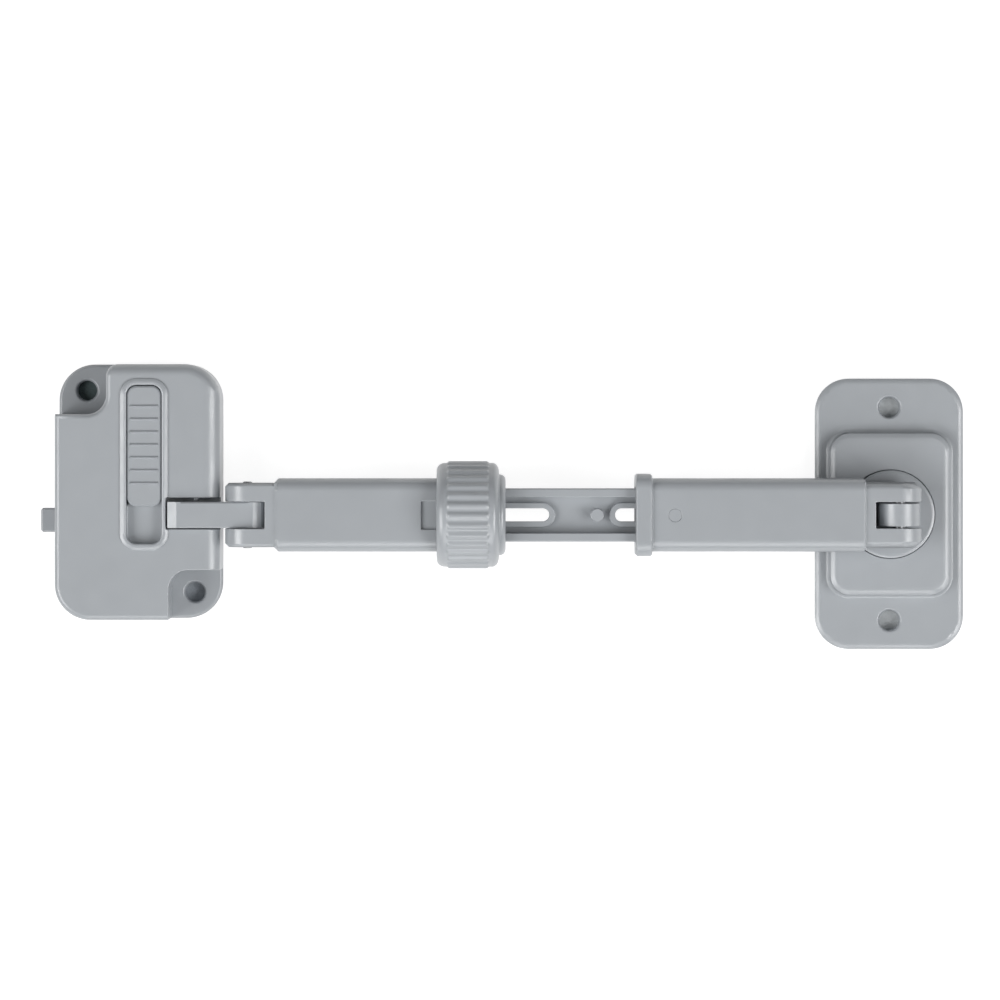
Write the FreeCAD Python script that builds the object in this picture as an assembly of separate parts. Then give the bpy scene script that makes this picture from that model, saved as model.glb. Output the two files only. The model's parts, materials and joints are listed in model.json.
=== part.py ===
import FreeCAD, Part
import math
import os
from FreeCAD import Vector

# Window restrictor: a screw-on base with a swivelling hinge, a telescopic rod that a knurled
# collar clamps, and a lock box that lets go of the rod's link arm.
# Millimetres. The origin is the swivel axis on the wall face, +Z points away from the wall,
# +X along the rod towards the base, +Y up.

# Clearances
SLIDE_GAP = 0.30
SHAFT_GAP = 0.05
SEAT_GAP = 0.10
STOP_GAP = 0.025
PRESS_GAP = 0.02

# How far cuts run past the faces that they open, and how near an edge counts as found
PAST = 1.0
TOUCH = 1e-4

# Foam pads behind both plates
PAD_T = 1.0
PAD_INSET = 0.6

# Base plate and its raised pedestal
PLATE_W = 37.3
PLATE_H = 68.3
PLATE_CORNER = 8.4
PLATE_T = 3.0
PLATE_EDGE = 1.3
PEDESTAL_W = 30.0
PEDESTAL_H = 40.6
PEDESTAL_CORNER = 4.8
PEDESTAL_RISE = 4.0
PEDESTAL_EDGE = 1.3
PEDESTAL_BLEND = 1.2
BASE_HOLE_SPACING = 53.8
BASE_HOLE_R = 2.5
HOLE_CHAMFER = 0.7
MOULD_WALL = 2.0
DISC_RECESS = 1.2

# Turret on the base
DISC_R = 10.9
DISC_RISE = 1.2
DISC_EDGE = 0.5
STEM_R = 6.0
WASHER_R = 8.2
WASHER_T = 0.9
TURRET_SCREW_R = 1.75
TURRET_SCREW_HEAD_R = 3.3
TURRET_SCREW_HEAD_T = 1.4
TURRET_SCREW_LEN = 7.0
LUG_W = 5.75
LUG_R = 5.1
LUG_FLARE = 0.6
LUG_SIDE_GAP = 0.425
HINGE_OFFSET = 1.5
HINGE_PIN_R = 1.5

# Rod: both tubes share one outer section
ROD_Z = 16.0
TUBE_W = 18.25
TUBE_H = 13.0
TUBE_ROUND = 3.2
RIGHT_FORK_W = 16.4
RIGHT_FORK_R = 5.6
RIGHT_FORK_SLOT_BACK = 6.2
RIGHT_FORK_REACH = 8.7
RIGHT_TUBE_LEN = 57.35
RIGHT_TUBE_END_WALL = 3.2
BAND_LEN = 4.15
BAND_W = 20.5
BAND_H = 15.25
BAND_ROUND = 3.6
BAND_EDGE = 0.45
TUBE_END_EDGE = 0.5
RIGHT_FORK_EDGE = 1.75
FORK_ROOT = 2.0
STOP_PIN_INSET = 9.85
STOP_PIN_R = 1.4
STOP_PIN_HEAD_R = 1.6
STOP_PIN_HEAD_T = 0.8

# Flat slotted bar between the tubes
BAR_W = 13.25
BAR_H = 9.0
BAR_RAIL = 2.1
BAR_WEB = 2.0
BAR_EDGE = 0.4
BAR_SLOT_W = 3.3
BAR_RIM_W = 1.35
BAR_RIM_RISE = 1.5
BAR_END_LAND = 3.5
BAR_BARB = 0.5
BAR_BARB_LEN = 2.0
PEG_R = 1.575
PEG_RISE = 3.2
PEG_TO_SLOT = 4.45
PEG_TO_LONG_SLOT = 11.95
BAR_IN = 7.9
BAR_OUT = 30.3
ROD_IN = 20.5
ROD_OUT = 17.0

# Clamp collar
COLLAR_LEN = 17.2
COLLAR_R = 13.45
COLLAR_CORE_R = 12.75
COLLAR_NOSE_R = 10.1
COLLAR_NOSE_LEN = 1.65
COLLAR_BACK_STEP = 0.7
COLLAR_LAND = 0.4
COLLAR_FRONT_R = 11.8
COLLAR_FRONT_SLOPE = 1.6
COLLAR_BORE_R = 10.9
COLLAR_NOSE_BORE_R = 8.4
RIB_COUNT = 32
RIB_W = 1.9
RIB_TOP_W = 0.9
RIB_TAPER = 0.8
RIB_ROOT = 0.6
RIB_BACK = 3.0
RIB_FRONT = 2.8
PEG_MARGIN = 0.775

# Left tube with its split clamping spigot
LEFT_TUBE_SHOWN = 40.45
LEFT_TUBE_CHAMFER = 1.0
SPIGOT_R = 10.6
SPIGOT_LEN = 12.0
SPIGOT_SLOT_W = 3.0
RELIEF_W = 7.0
RELIEF_OUT = 3.8
RELIEF_IN = 3.0
RELIEF_DEPTH = 0.7
LIP_INSET = 2.0
LEFT_FORK_W = 16.0
LEFT_FORK_R = 5.6
LEFT_FORK_REACH = 6.85
LEFT_FORK_SLOT_BACK = 4.5
LEFT_FORK_EDGE = 0.9
FORK_PIN_R = 1.15
FORK_PIN_PROUD = 0.35

# Link arm
ARM_W = 6.5
ARM_H = 7.3
ARM_SPAN = 16.35
ARM_EDGE = 0.35
LUG_DOWN_X = 4.9
LUG_DOWN_Y = 4.8
LUG_DOWN_LEN = 7.4
LUG_NOTCH = 0.8
LUG_NOTCH_UP = 2.0
LUG_NOTCH_H = 1.6

# Lock box
LOCK_W = 41.3
LOCK_H = 64.0
LOCK_CORNER = 9.0
LOCK_UP = 5.7
LOCK_FROM_PIN = 6.9
LOCK_BASE_T = 3.0
LOCK_TOP_Z = 17.5
LOCK_WALL = 2.0
LOCK_EDGE = 1.4
LOCK_RIGHT_EDGE = 3.0
LOCK_CORNER_EDGE = 0.8
LOCK_HOLE_X = 13.6
LOCK_HOLE_Y = 25.45
LOCK_HOLE_R = 2.45
NOTCH_W = 12.8
NOTCH_H = 12.5
NOTCH_ROUND = 4.8
ARM_POCKET_ABOVE = 4.3
ARM_POCKET_BELOW = 3.57
ARM_POCKET_TICK_X = 6.1
ARM_POCKET_TICK = 1.0

# Thumb slider and its track in the cover
TRACK_RIGHT_OF_CENTRE = 1.75
TRACK_W = 8.8
TRACK_H = 39.65
TRACK_LOW = -12.9
TRACK_ROUND = 2.5
TRACK_DEPTH = 2.2
RIM_W = 1.5
RIM_RISE = 0.8
THUMB_W = 8.5
THUMB_H = 30.05
THUMB_TOP_GAP = 0.25
THUMB_RISE = 0.35
THUMB_ROUND = 2.4
THUMB_EDGE = 0.4
THUMB_TRAVEL = 9.3
RIDGE_COUNT = 7
RIDGE_PITCH = 3.2
RIDGE_LOW = 6.0
RIDGE_W = 7.0
RIDGE_T = 0.9
RIDGE_RISE = 0.45
STEM_W = 4.0
STEM_H = 8.0
STEM_ABOVE_TRACK = 20.3

# Latch plate inside the lock box
LATCH_T = 1.5
LATCH_FLOOR_GAP = 2.1
LATCH_BAR_H = 9.5
LATCH_LEFT_ARM = 11.0
LATCH_FINGER_T = 1.7
LATCH_FINGER_DROP = 2.3
LATCH_FINGER_GAP = 0.3
LATCH_HUB_WALL = 1.2
LATCH_LIP_T = 1.5
LATCH_LIP_H = 5.4
WINDOW_W = 5.0
WINDOW_BORDER = 1.3
WINDOW_H = 12.4
TOOTH_REACH = 2.0
TOOTH_H = 2.0
TOOTH_UP = 3.0

# Spring clip, detent leaf and coil springs
CLIP_T = 0.5
CLIP_W = 3.6
CLIP_LEG = 5.4
CLIP_SEAT_T = 0.9
LEAF_T = 0.5
LEAF_H = 2.5
LEAF_LEN = 11.0
LEAF_TIP_W = 1.0
LEAF_GRIP = 3.0
LEAF_POST_WALL = 1.5
LEAF_POST_END = 1.0
SLIDER_SPRING_R = 2.0
SLIDER_SPRING_TURNS = 7
BUTTON_SPRING_R = 2.75
BUTTON_SPRING_TURNS = 4
SPRING_WIRE_R = 0.25
SPRING_STEPS = 10
SPRING_Z = 9.0
SPRING_LEN = 12.6
SPRING_SEAT_RIM = 1.0

# Side button
BUTTON_PROUD = 4.0
BUTTON_W = 6.0
BUTTON_CENTRE_Y = -1.4
BUTTON_H = 5.0
BUTTON_Z = 8.0
BUTTON_EDGE = 0.5
BUTTON_FLANGE = 1.4
BUTTON_FLANGE_T = 1.5
BUTTON_STEM = 3.0
BUTTON_STEM_LEN = 8.8
BUTTON_TRAVEL = 2.5
GUIDE_T = 1.5
GUIDE_FROM_FLANGE = 6.5
RAIL_T = 1.5
RAIL_FROM_WINDOW = 1.0

# Cover screws
SCREW_R = 1.2
SCREW_HEAD_R = 2.6
SCREW_HEAD_T = 1.3
SCREW_LEN = 9.0
BOSS_R = 2.8
BOSS_INSET = 6.2
BOSS_MID_UP = 12.5

# Levels from the wall outwards
PLATE_TOP_Z = PAD_T + PLATE_T
PEDESTAL_TOP_Z = PLATE_TOP_Z + PEDESTAL_RISE
DISC_FLOOR_Z = PEDESTAL_TOP_Z - DISC_RECESS
DISC_TOP_Z = PEDESTAL_TOP_Z + DISC_RISE
POCKET_TOP_Z = DISC_FLOOR_Z - MOULD_WALL
LOCK_FLOOR_Z = PAD_T + LOCK_BASE_T
TRACK_FLOOR_Z = LOCK_TOP_Z - TRACK_DEPTH
ARM_LOW_Z = ROD_Z - ARM_H / 2
ARM_POCKET_Z = ARM_LOW_Z - SLIDE_GAP
LATCH_Z = LOCK_FLOOR_Z + LATCH_FLOOR_GAP
LEAF_Z = LATCH_Z + LATCH_T + 2 * SEAT_GAP

# Stations along the rod, from the hinge outwards
HINGE_X = HINGE_OFFSET
TUBE_END_X = HINGE_X - RIGHT_FORK_REACH
MOUTH_X = TUBE_END_X - RIGHT_TUBE_LEN
STOP_PIN_X = MOUTH_X + STOP_PIN_INSET
PEG_X = MOUTH_X - BAR_IN - PEG_R - STOP_GAP
SLOT_LEFT_X = PEG_X + PEG_TO_SLOT
SLOT_RIGHT_X = STOP_PIN_X + STOP_PIN_R + BAR_OUT + STOP_GAP
BAR_RIGHT_X = SLOT_RIGHT_X + BAR_END_LAND
NOSE_X = PEG_X - PEG_R - ROD_IN - PEG_MARGIN
COLLAR_X = NOSE_X - COLLAR_LEN
LIP_X = COLLAR_X + LIP_INSET
BAR_LEFT_X = LIP_X - ROD_OUT - BAR_BARB_LEN - SEAT_GAP
LONG_SLOT_LEFT_X = BAR_LEFT_X + BAR_BARB_LEN + BAR_END_LAND
LONG_SLOT_RIGHT_X = PEG_X - PEG_TO_LONG_SLOT
LEFT_TUBE_X = COLLAR_X - LEFT_TUBE_SHOWN
SPIGOT_X = LIP_X + SPIGOT_LEN
FORK_PIN_X = LEFT_TUBE_X - LEFT_FORK_REACH
ARM_END_X = FORK_PIN_X - ARM_SPAN
LOCK_RIGHT_X = FORK_PIN_X - LOCK_FROM_PIN
LOCK_X = LOCK_RIGHT_X - LOCK_W / 2
LOCK_LEFT_X = LOCK_RIGHT_X - LOCK_W
TRACK_X = LOCK_X + TRACK_RIGHT_OF_CENTRE
TRACK_Y = LOCK_UP + TRACK_LOW + TRACK_H / 2
TRACK_TOP_Y = TRACK_Y + TRACK_H / 2
THUMB_Y = TRACK_TOP_Y - THUMB_TOP_GAP - THUMB_H / 2
STEM_Y = TRACK_Y - TRACK_H / 2 + STEM_ABOVE_TRACK + STEM_H / 2
FLANGE_X = LOCK_LEFT_X + LOCK_WALL + SEAT_GAP
GUIDE_X = FLANGE_X + BUTTON_FLANGE_T + GUIDE_FROM_FLANGE
BUTTON_TIP_X = FLANGE_X + BUTTON_FLANGE_T + BUTTON_STEM_LEN
CLIP_OUT = LUG_DOWN_X / 2 + SLIDE_GAP + CLIP_T
FINGER_IN = CLIP_OUT + LATCH_FINGER_GAP
FINGER_LOW_Y = -LATCH_FINGER_DROP
LATCH_BAR_LOW_Y = STEM_Y - STEM_H / 2 - LATCH_HUB_WALL + SEAT_GAP
LATCH_LEFT_X = ARM_END_X - FINGER_IN - LATCH_LEFT_ARM
WINDOW_X = LATCH_LEFT_X + WINDOW_BORDER
WINDOW_LOW_Y = FINGER_LOW_Y + LATCH_LIP_T
SPRING_SEAT_Y = FINGER_LOW_Y - SPRING_LEN
SPRING_X = WINDOW_X + WINDOW_W / 2


def block(x0, x1, y0, y1, z0, z1):
    """Box between two corners."""
    return Part.makeBox(x1 - x0, y1 - y0, z1 - z0, Vector(x0, y0, z0))


def post(radius, x, y, z0, z1):
    """Round post along Z."""
    return Part.makeCylinder(radius, z1 - z0, Vector(x, y, z0))


def cross_pin(radius, x, half_length):
    """Round pin along Y through the rod's mid height."""
    start = Vector(x, -half_length, ROD_Z)
    return Part.makeCylinder(radius, 2 * half_length, start, Vector(0, 1, 0))


def flat_place(x, y, z):
    """Maps an outline onto a plane parallel to the wall."""
    return lambda u, v: Vector(x + u, y + v, z)


def rod_place(x):
    """Maps an outline onto a plane square to the rod."""
    return lambda u, v: Vector(x, u, ROD_Z + v)


def rounded_wire(place, width, height, corner):
    """Rectangle with round corners, centred on the place's origin."""
    in_u = width / 2 - corner
    in_v = height / 2 - corner
    centres = ((in_u, in_v), (-in_u, in_v), (-in_u, -in_v), (in_u, -in_v))
    arcs = []
    for quarter, (u, v) in enumerate(centres):
        angles = [math.radians(90 * quarter + turn) for turn in (0, 45, 90)]
        arcs.append([place(u + corner * math.cos(a), v + corner * math.sin(a)) for a in angles])
    edges = []
    for arc, following in zip(arcs, arcs[1:] + arcs[:1]):
        edges.append(Part.Arc(*arc).toShape())
        edges.append(Part.makeLine(arc[2], following[0]))
    return Part.Wire(edges)


def slab(x, y, width, height, corner, z0, z1):
    """Plate with round corners, parallel to the wall."""
    face = Part.Face(rounded_wire(flat_place(x, y, z0), width, height, corner))
    return face.extrude(Vector(0, 0, z1 - z0))


def rod_length(x0, x1, width, height, corner):
    """Length of rod of a rounded rectangular section."""
    face = Part.Face(rounded_wire(rod_place(x0), width, height, corner))
    return face.extrude(Vector(x1 - x0, 0, 0))


def side_plate(points, y0, y1):
    """Plate between two Y planes, from corner points (x, z)."""
    corners = [Vector(x, y0, z) for x, z in points]
    face = Part.Face(Part.makePolygon(corners + corners[:1]))
    return face.extrude(Vector(0, y1 - y0, 0))


def long_hole(x0, x1, width, z0, z1):
    """Slot along the rod with half-round ends."""
    return slab((x0 + x1) / 2, 0, x1 - x0, width, width / 2 - TOUCH, z0, z1)


def turned(points):
    """Solid of revolution about the rod's axis, from points (x, radius)."""
    corners = [Vector(x, 0, ROD_Z + radius) for x, radius in points]
    face = Part.Face(Part.makePolygon(corners + corners[:1]))
    return face.revolve(Vector(0, 0, ROD_Z), Vector(1, 0, 0), 360)


def edges_at(shape, test):
    """Edges whose box passes the test."""
    return [edge for edge in shape.Edges if test(edge.BoundBox)]


def at_level(z):
    """Test for edges that lie in one plane parallel to the wall."""
    return lambda box: abs(box.ZMin - z) < TOUCH and abs(box.ZMax - z) < TOUCH


def coil(start, axis, length, radius, turns):
    """Compression spring of square wire, its turns drawn with straight steps."""
    steps = SPRING_STEPS * turns
    half = SPRING_WIRE_R
    sections = []
    for step in range(steps + 1):
        turn = 2 * math.pi * step / SPRING_STEPS
        height = half + (length - 2 * half) * step / steps
        corners = [Vector((radius + r) * math.cos(turn), (radius + r) * math.sin(turn), height + h)
                   for r, h in ((-half, -half), (half, -half), (half, half), (-half, half))]
        sections.append(Part.makePolygon(corners + corners[:1]))
    spring = Part.makeLoft(sections, True, True)
    spring.Placement = FreeCAD.Placement(start, FreeCAD.Rotation(Vector(0, 0, 1), axis))
    return spring


def base_plate():
    """Moulded plate with a hollow pedestal and a round seat for the turret."""
    plate = slab(0, 0, PLATE_W, PLATE_H, PLATE_CORNER, PAD_T, PLATE_TOP_Z)
    plate = plate.makeChamfer(PLATE_EDGE, edges_at(plate, at_level(PLATE_TOP_Z)))
    pedestal = slab(0, 0, PEDESTAL_W, PEDESTAL_H, PEDESTAL_CORNER, PAD_T, PEDESTAL_TOP_Z)
    pedestal = pedestal.makeChamfer(PEDESTAL_EDGE, edges_at(pedestal, at_level(PEDESTAL_TOP_Z)))
    body = plate.fuse(pedestal)
    foot_room = (PLATE_W - PEDESTAL_W) / 2 - PLATE_EDGE - SEAT_GAP
    body = body.makeChamfer(min(PEDESTAL_BLEND, foot_room), edges_at(body, foot_edge))
    body = body.cut(pedestal_pocket())
    body = body.cut(post(DISC_R + SLIDE_GAP, 0, 0, DISC_FLOOR_Z, PEDESTAL_TOP_Z + PAST))
    body = body.cut(post(STEM_R + SHAFT_GAP, 0, 0, PAD_T, DISC_FLOOR_Z + PAST))
    for side in (-1, 1):
        body = body.cut(screw_hole(0, side * BASE_HOLE_SPACING / 2, BASE_HOLE_R, PLATE_TOP_Z))
    return body


def foot_edge(box):
    """Edges where the pedestal rises from the plate."""
    in_width = max(-box.XMin, box.XMax) < PEDESTAL_W / 2 + STOP_GAP
    in_height = max(-box.YMin, box.YMax) < PEDESTAL_H / 2 + STOP_GAP
    return at_level(PLATE_TOP_Z)(box) and in_width and in_height


def pedestal_pocket():
    """Hollow behind the pedestal, one wall inside it."""
    trim = 2 * MOULD_WALL
    return slab(0, 0, PEDESTAL_W - trim, PEDESTAL_H - trim, PEDESTAL_CORNER - MOULD_WALL,
                PAD_T - PAST, POCKET_TOP_Z)


def screw_hole(x, y, radius, top):
    """Hole through a plate with a chamfered mouth."""
    hole = post(radius, x, y, PAD_T - PAST, top + PAST)
    mouth = Part.makeCone(radius, radius + HOLE_CHAMFER, HOLE_CHAMFER, Vector(x, y, top - HOLE_CHAMFER))
    return hole.fuse(mouth)


def base_pad():
    """Foam pad behind the base plate."""
    return slab(0, 0, PLATE_W - 2 * PAD_INSET, PLATE_H - 2 * PAD_INSET, PLATE_CORNER - PAD_INSET,
                0, PAD_T)


def turret():
    """Swivelling disc with a hinge lug on top and a stem below."""
    disc = post(DISC_R, 0, 0, DISC_FLOOR_Z + SEAT_GAP, DISC_TOP_Z)
    disc = disc.makeChamfer(DISC_EDGE, edges_at(disc, at_level(DISC_TOP_Z)))
    stem = post(STEM_R, 0, 0, POCKET_TOP_Z - SEAT_GAP, DISC_TOP_Z - DISC_EDGE)
    head = Part.makeCylinder(LUG_R, LUG_W, Vector(HINGE_X, -LUG_W / 2, ROD_Z), Vector(0, 1, 0))
    foot_half = LUG_R + LUG_FLARE
    neck = side_plate([(HINGE_X - foot_half, DISC_TOP_Z - DISC_EDGE),
                       (HINGE_X + foot_half, DISC_TOP_Z - DISC_EDGE),
                       (HINGE_X + LUG_R, ROD_Z), (HINGE_X - LUG_R, ROD_Z)], -LUG_W / 2, LUG_W / 2)
    body = disc.fuse([stem, head, neck]).removeSplitter()
    body = body.cut(cross_pin(HINGE_PIN_R + SHAFT_GAP, HINGE_X, LUG_W))
    pilot_top = POCKET_TOP_Z - SEAT_GAP - WASHER_T + TURRET_SCREW_LEN
    return body.cut(post(TURRET_SCREW_R + PRESS_GAP, 0, 0, 0, pilot_top + SEAT_GAP))


def turret_washer():
    """Washer that holds the turret's stem in the plate."""
    top = POCKET_TOP_Z - SEAT_GAP
    ring = post(WASHER_R, 0, 0, top - WASHER_T, top)
    return ring.cut(post(TURRET_SCREW_R + PRESS_GAP, 0, 0, 0, top + PAST))


def turret_screw():
    """Pan-head screw up the turret's stem."""
    seat = POCKET_TOP_Z - SEAT_GAP - WASHER_T
    head = post(TURRET_SCREW_HEAD_R, 0, 0, seat - TURRET_SCREW_HEAD_T, seat)
    head = head.makeChamfer(TURRET_SCREW_HEAD_T / 3, edges_at(head, at_level(seat - TURRET_SCREW_HEAD_T)))
    return head.fuse(post(TURRET_SCREW_R, 0, 0, seat, seat + TURRET_SCREW_LEN)).removeSplitter()


def fork(pin_x, root_x, radius, width, edge, slot_width, slot_back, pin_r):
    """Fork with round cheeks, from its root to its pin; the slot is open at the round end."""
    away = math.copysign(1, pin_x - root_x)
    eye = Part.makeCylinder(radius, width, Vector(pin_x, -width / 2, ROD_Z), Vector(0, 1, 0))
    x0, x1 = sorted((root_x, pin_x))
    cheeks = block(x0, x1, -width / 2, width / 2, ROD_Z - radius, ROD_Z + radius)
    body = eye.fuse(cheeks).removeSplitter()
    body = body.makeChamfer(edge, edges_at(body, lambda box: fork_rim(box, width, root_x)))
    slot_x0, slot_x1 = sorted((pin_x - away * slot_back, pin_x + away * (radius + PAST)))
    body = body.cut(block(slot_x0, slot_x1, -slot_width / 2, slot_width / 2,
                          ROD_Z - radius - PAST, ROD_Z + radius + PAST))
    return body.cut(cross_pin(pin_r + PRESS_GAP, pin_x, width))


def fork_rim(box, width, root_x):
    """Long edges of a fork's outer cheeks, without its root."""
    on_side = abs(abs(box.YMin) - width / 2) < TOUCH and box.YLength < TOUCH
    return on_side and not (abs(box.XMin - root_x) < TOUCH and box.XLength < TOUCH)


def right_tube():
    """Tube with a mouth band at one end and the turret's fork at the other."""
    tube = rod_length(MOUTH_X + BAND_LEN, TUBE_END_X, TUBE_W, TUBE_H, TUBE_ROUND)
    tube = tube.makeChamfer(TUBE_END_EDGE, edges_at(tube, lambda box: at_station(box, TUBE_END_X)))
    band = rod_length(MOUTH_X, MOUTH_X + BAND_LEN, BAND_W, BAND_H, BAND_ROUND)
    band = band.makeChamfer(BAND_EDGE, edges_at(band, lambda box: box.XLength < TOUCH))
    hinge = fork(HINGE_X, TUBE_END_X, RIGHT_FORK_R, RIGHT_FORK_W, RIGHT_FORK_EDGE,
                 LUG_W + 2 * LUG_SIDE_GAP, RIGHT_FORK_SLOT_BACK, HINGE_PIN_R)
    root = block(TUBE_END_X - FORK_ROOT, TUBE_END_X, -RIGHT_FORK_W / 2, RIGHT_FORK_W / 2,
                 ROD_Z - RIGHT_FORK_R, ROD_Z + RIGHT_FORK_R)
    body = tube.fuse([band, root, hinge]).removeSplitter()
    bore = rod_length(MOUTH_X - PAST, TUBE_END_X - RIGHT_TUBE_END_WALL, BAR_W + 2 * SLIDE_GAP,
                      BAR_H + 2 * SLIDE_GAP, BAR_EDGE)
    body = body.cut(bore)
    return body.cut(stop_pin_shape(PRESS_GAP))


def at_station(box, x):
    """True for edges that lie in one plane square to the rod."""
    return abs(box.XMin - x) < TOUCH and abs(box.XMax - x) < TOUCH


def stop_pin_shape(gap):
    """Headed pin through the tube's front wall and the bar's slot, or its hole."""
    top = ROD_Z + TUBE_H / 2
    back_wall = ROD_Z - BAR_H / 2 - SLIDE_GAP
    low = back_wall - (TUBE_H - BAR_H) / 4
    shank = post(STOP_PIN_R + gap, STOP_PIN_X, 0, low - gap, top)
    head = post(STOP_PIN_HEAD_R + gap, STOP_PIN_X, 0, top - STOP_PIN_HEAD_T - gap, top)
    return shank.fuse(head)


def stop_pin():
    """Pin that ends the bar's travel."""
    return stop_pin_shape(0)


def turret_pin():
    """Hinge pin of the base end."""
    return cross_pin(HINGE_PIN_R, HINGE_X, RIGHT_FORK_W / 2 - SEAT_GAP)


def inner_bar():
    """Bar of H section with two rimmed slots, a peg, and barbs on its hidden end."""
    body = rod_length(BAR_LEFT_X, BAR_RIGHT_X, BAR_W, BAR_H, BAR_EDGE)
    trough_half = BAR_W / 2 - BAR_RAIL
    for side in (-1, 1):
        z0, z1 = sorted((ROD_Z + side * BAR_WEB / 2, ROD_Z + side * (BAR_H / 2 + PAST)))
        body = body.cut(block(BAR_LEFT_X - PAST, BAR_RIGHT_X + PAST, -trough_half, trough_half, z0, z1))
    rim_z = BAR_WEB / 2 + BAR_RIM_RISE
    for x0, x1 in ((LONG_SLOT_LEFT_X, LONG_SLOT_RIGHT_X), (SLOT_LEFT_X, SLOT_RIGHT_X)):
        rim = long_hole(x0 - BAR_RIM_W, x1 + BAR_RIM_W, BAR_SLOT_W + 2 * BAR_RIM_W,
                        ROD_Z - rim_z, ROD_Z + rim_z)
        body = body.fuse(rim).cut(long_hole(x0, x1, BAR_SLOT_W, ROD_Z - BAR_H, ROD_Z + BAR_H))
    peg = post(PEG_R, PEG_X, 0, ROD_Z, ROD_Z + BAR_WEB / 2 + PEG_RISE)
    barb_half = BAR_W / 2 + BAR_BARB
    barbs = [block(BAR_LEFT_X, BAR_LEFT_X + BAR_BARB_LEN, *sorted((side * trough_half, side * barb_half)),
                   ROD_Z - BAR_H / 4, ROD_Z + BAR_H / 4) for side in (-1, 1)]
    return body.fuse([peg] + barbs).removeSplitter()


def left_tube():
    """Tube with the arm's fork at one end and a split round spigot under the collar."""
    tube = rod_length(LEFT_TUBE_X, LIP_X, TUBE_W, TUBE_H, TUBE_ROUND)
    tube = tube.makeChamfer(LEFT_TUBE_CHAMFER, edges_at(tube, lambda box: at_station(box, LEFT_TUBE_X)))
    spigot = Part.makeCylinder(SPIGOT_R, SPIGOT_LEN, Vector(LIP_X, 0, ROD_Z), Vector(1, 0, 0))
    spigot = spigot.makeChamfer(LEFT_TUBE_CHAMFER, edges_at(spigot, lambda box: at_station(box, SPIGOT_X)))
    hinge = fork(FORK_PIN_X, LEFT_TUBE_X, LEFT_FORK_R, LEFT_FORK_W, LEFT_FORK_EDGE,
                 ARM_W + SLIDE_GAP - SHAFT_GAP, LEFT_FORK_SLOT_BACK, FORK_PIN_R)
    root = block(LEFT_TUBE_X, LEFT_TUBE_X + FORK_ROOT, -LEFT_FORK_W / 2, LEFT_FORK_W / 2,
                 ROD_Z - LEFT_FORK_R, ROD_Z + LEFT_FORK_R)
    body = tube.fuse([spigot, root, hinge]).removeSplitter()
    deep = BAR_LEFT_X - ROD_IN - SLIDE_GAP
    barb_room = 2 * (BAR_BARB + SLIDE_GAP)
    chamber = rod_length(deep, LIP_X, BAR_W + barb_room, BAR_H + 2 * SLIDE_GAP, BAR_EDGE)
    throat = rod_length(LIP_X - PAST, SPIGOT_X + PAST, BAR_W + 2 * SLIDE_GAP, BAR_H + 2 * SLIDE_GAP, BAR_EDGE)
    body = body.cut(chamber).cut(throat)
    face = ROD_Z + TUBE_H / 2
    relief = block(COLLAR_X - RELIEF_OUT, COLLAR_X + RELIEF_IN, -RELIEF_W / 2, RELIEF_W / 2,
                   face - RELIEF_DEPTH, face + PAST)
    split = block(COLLAR_X + RELIEF_IN - PAST, SPIGOT_X + PAST, -SPIGOT_SLOT_W / 2, SPIGOT_SLOT_W / 2,
                  ROD_Z - SPIGOT_R - PAST, ROD_Z + SPIGOT_R + PAST)
    return body.cut(relief).cut(split)


def clamp_collar():
    """Knurled collar whose tapered nose squeezes the split spigot onto the bar."""
    back_x = COLLAR_X
    front_x = NOSE_X - COLLAR_NOSE_LEN
    core = turned([(back_x, COLLAR_BORE_R), (back_x, COLLAR_BORE_R + COLLAR_LAND),
                   (back_x + COLLAR_BACK_STEP, COLLAR_CORE_R - COLLAR_BACK_STEP),
                   (back_x + 3 * COLLAR_BACK_STEP, COLLAR_CORE_R),
                   (front_x - COLLAR_FRONT_SLOPE, COLLAR_CORE_R), (front_x, COLLAR_FRONT_R),
                   (front_x, COLLAR_NOSE_R), (NOSE_X, COLLAR_NOSE_R),
                   (NOSE_X, COLLAR_NOSE_BORE_R), (SPIGOT_X + SLIDE_GAP, COLLAR_NOSE_BORE_R),
                   (SPIGOT_X + SLIDE_GAP, COLLAR_BORE_R)])
    ribs = [collar_rib(360 * index / RIB_COUNT) for index in range(RIB_COUNT)]
    return core.fuse(ribs).removeSplitter()


def collar_rib(angle):
    """One knurl rib with sloping flanks and ends, lying along the collar."""
    x0 = COLLAR_X + RIB_BACK
    x1 = NOSE_X - COLLAR_NOSE_LEN - RIB_FRONT
    low = ROD_Z + COLLAR_R - RIB_ROOT - RIB_TAPER
    high = ROD_Z + COLLAR_R
    rib = Part.makeWedge(x0 - RIB_TAPER, low, -RIB_W / 2, -RIB_TOP_W / 2, x0,
                         x1 + RIB_TAPER, high, RIB_W / 2, RIB_TOP_W / 2, x1)
    rib.rotate(Vector(0, 0, 0), Vector(1, 0, 0), 90)
    rib.rotate(Vector(0, 0, ROD_Z), Vector(1, 0, 0), angle)
    return rib


def fork_pin():
    """Hinge pin of the link arm, its ends just proud of the cheeks."""
    return cross_pin(FORK_PIN_R, FORK_PIN_X, LEFT_FORK_W / 2 + FORK_PIN_PROUD)


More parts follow.
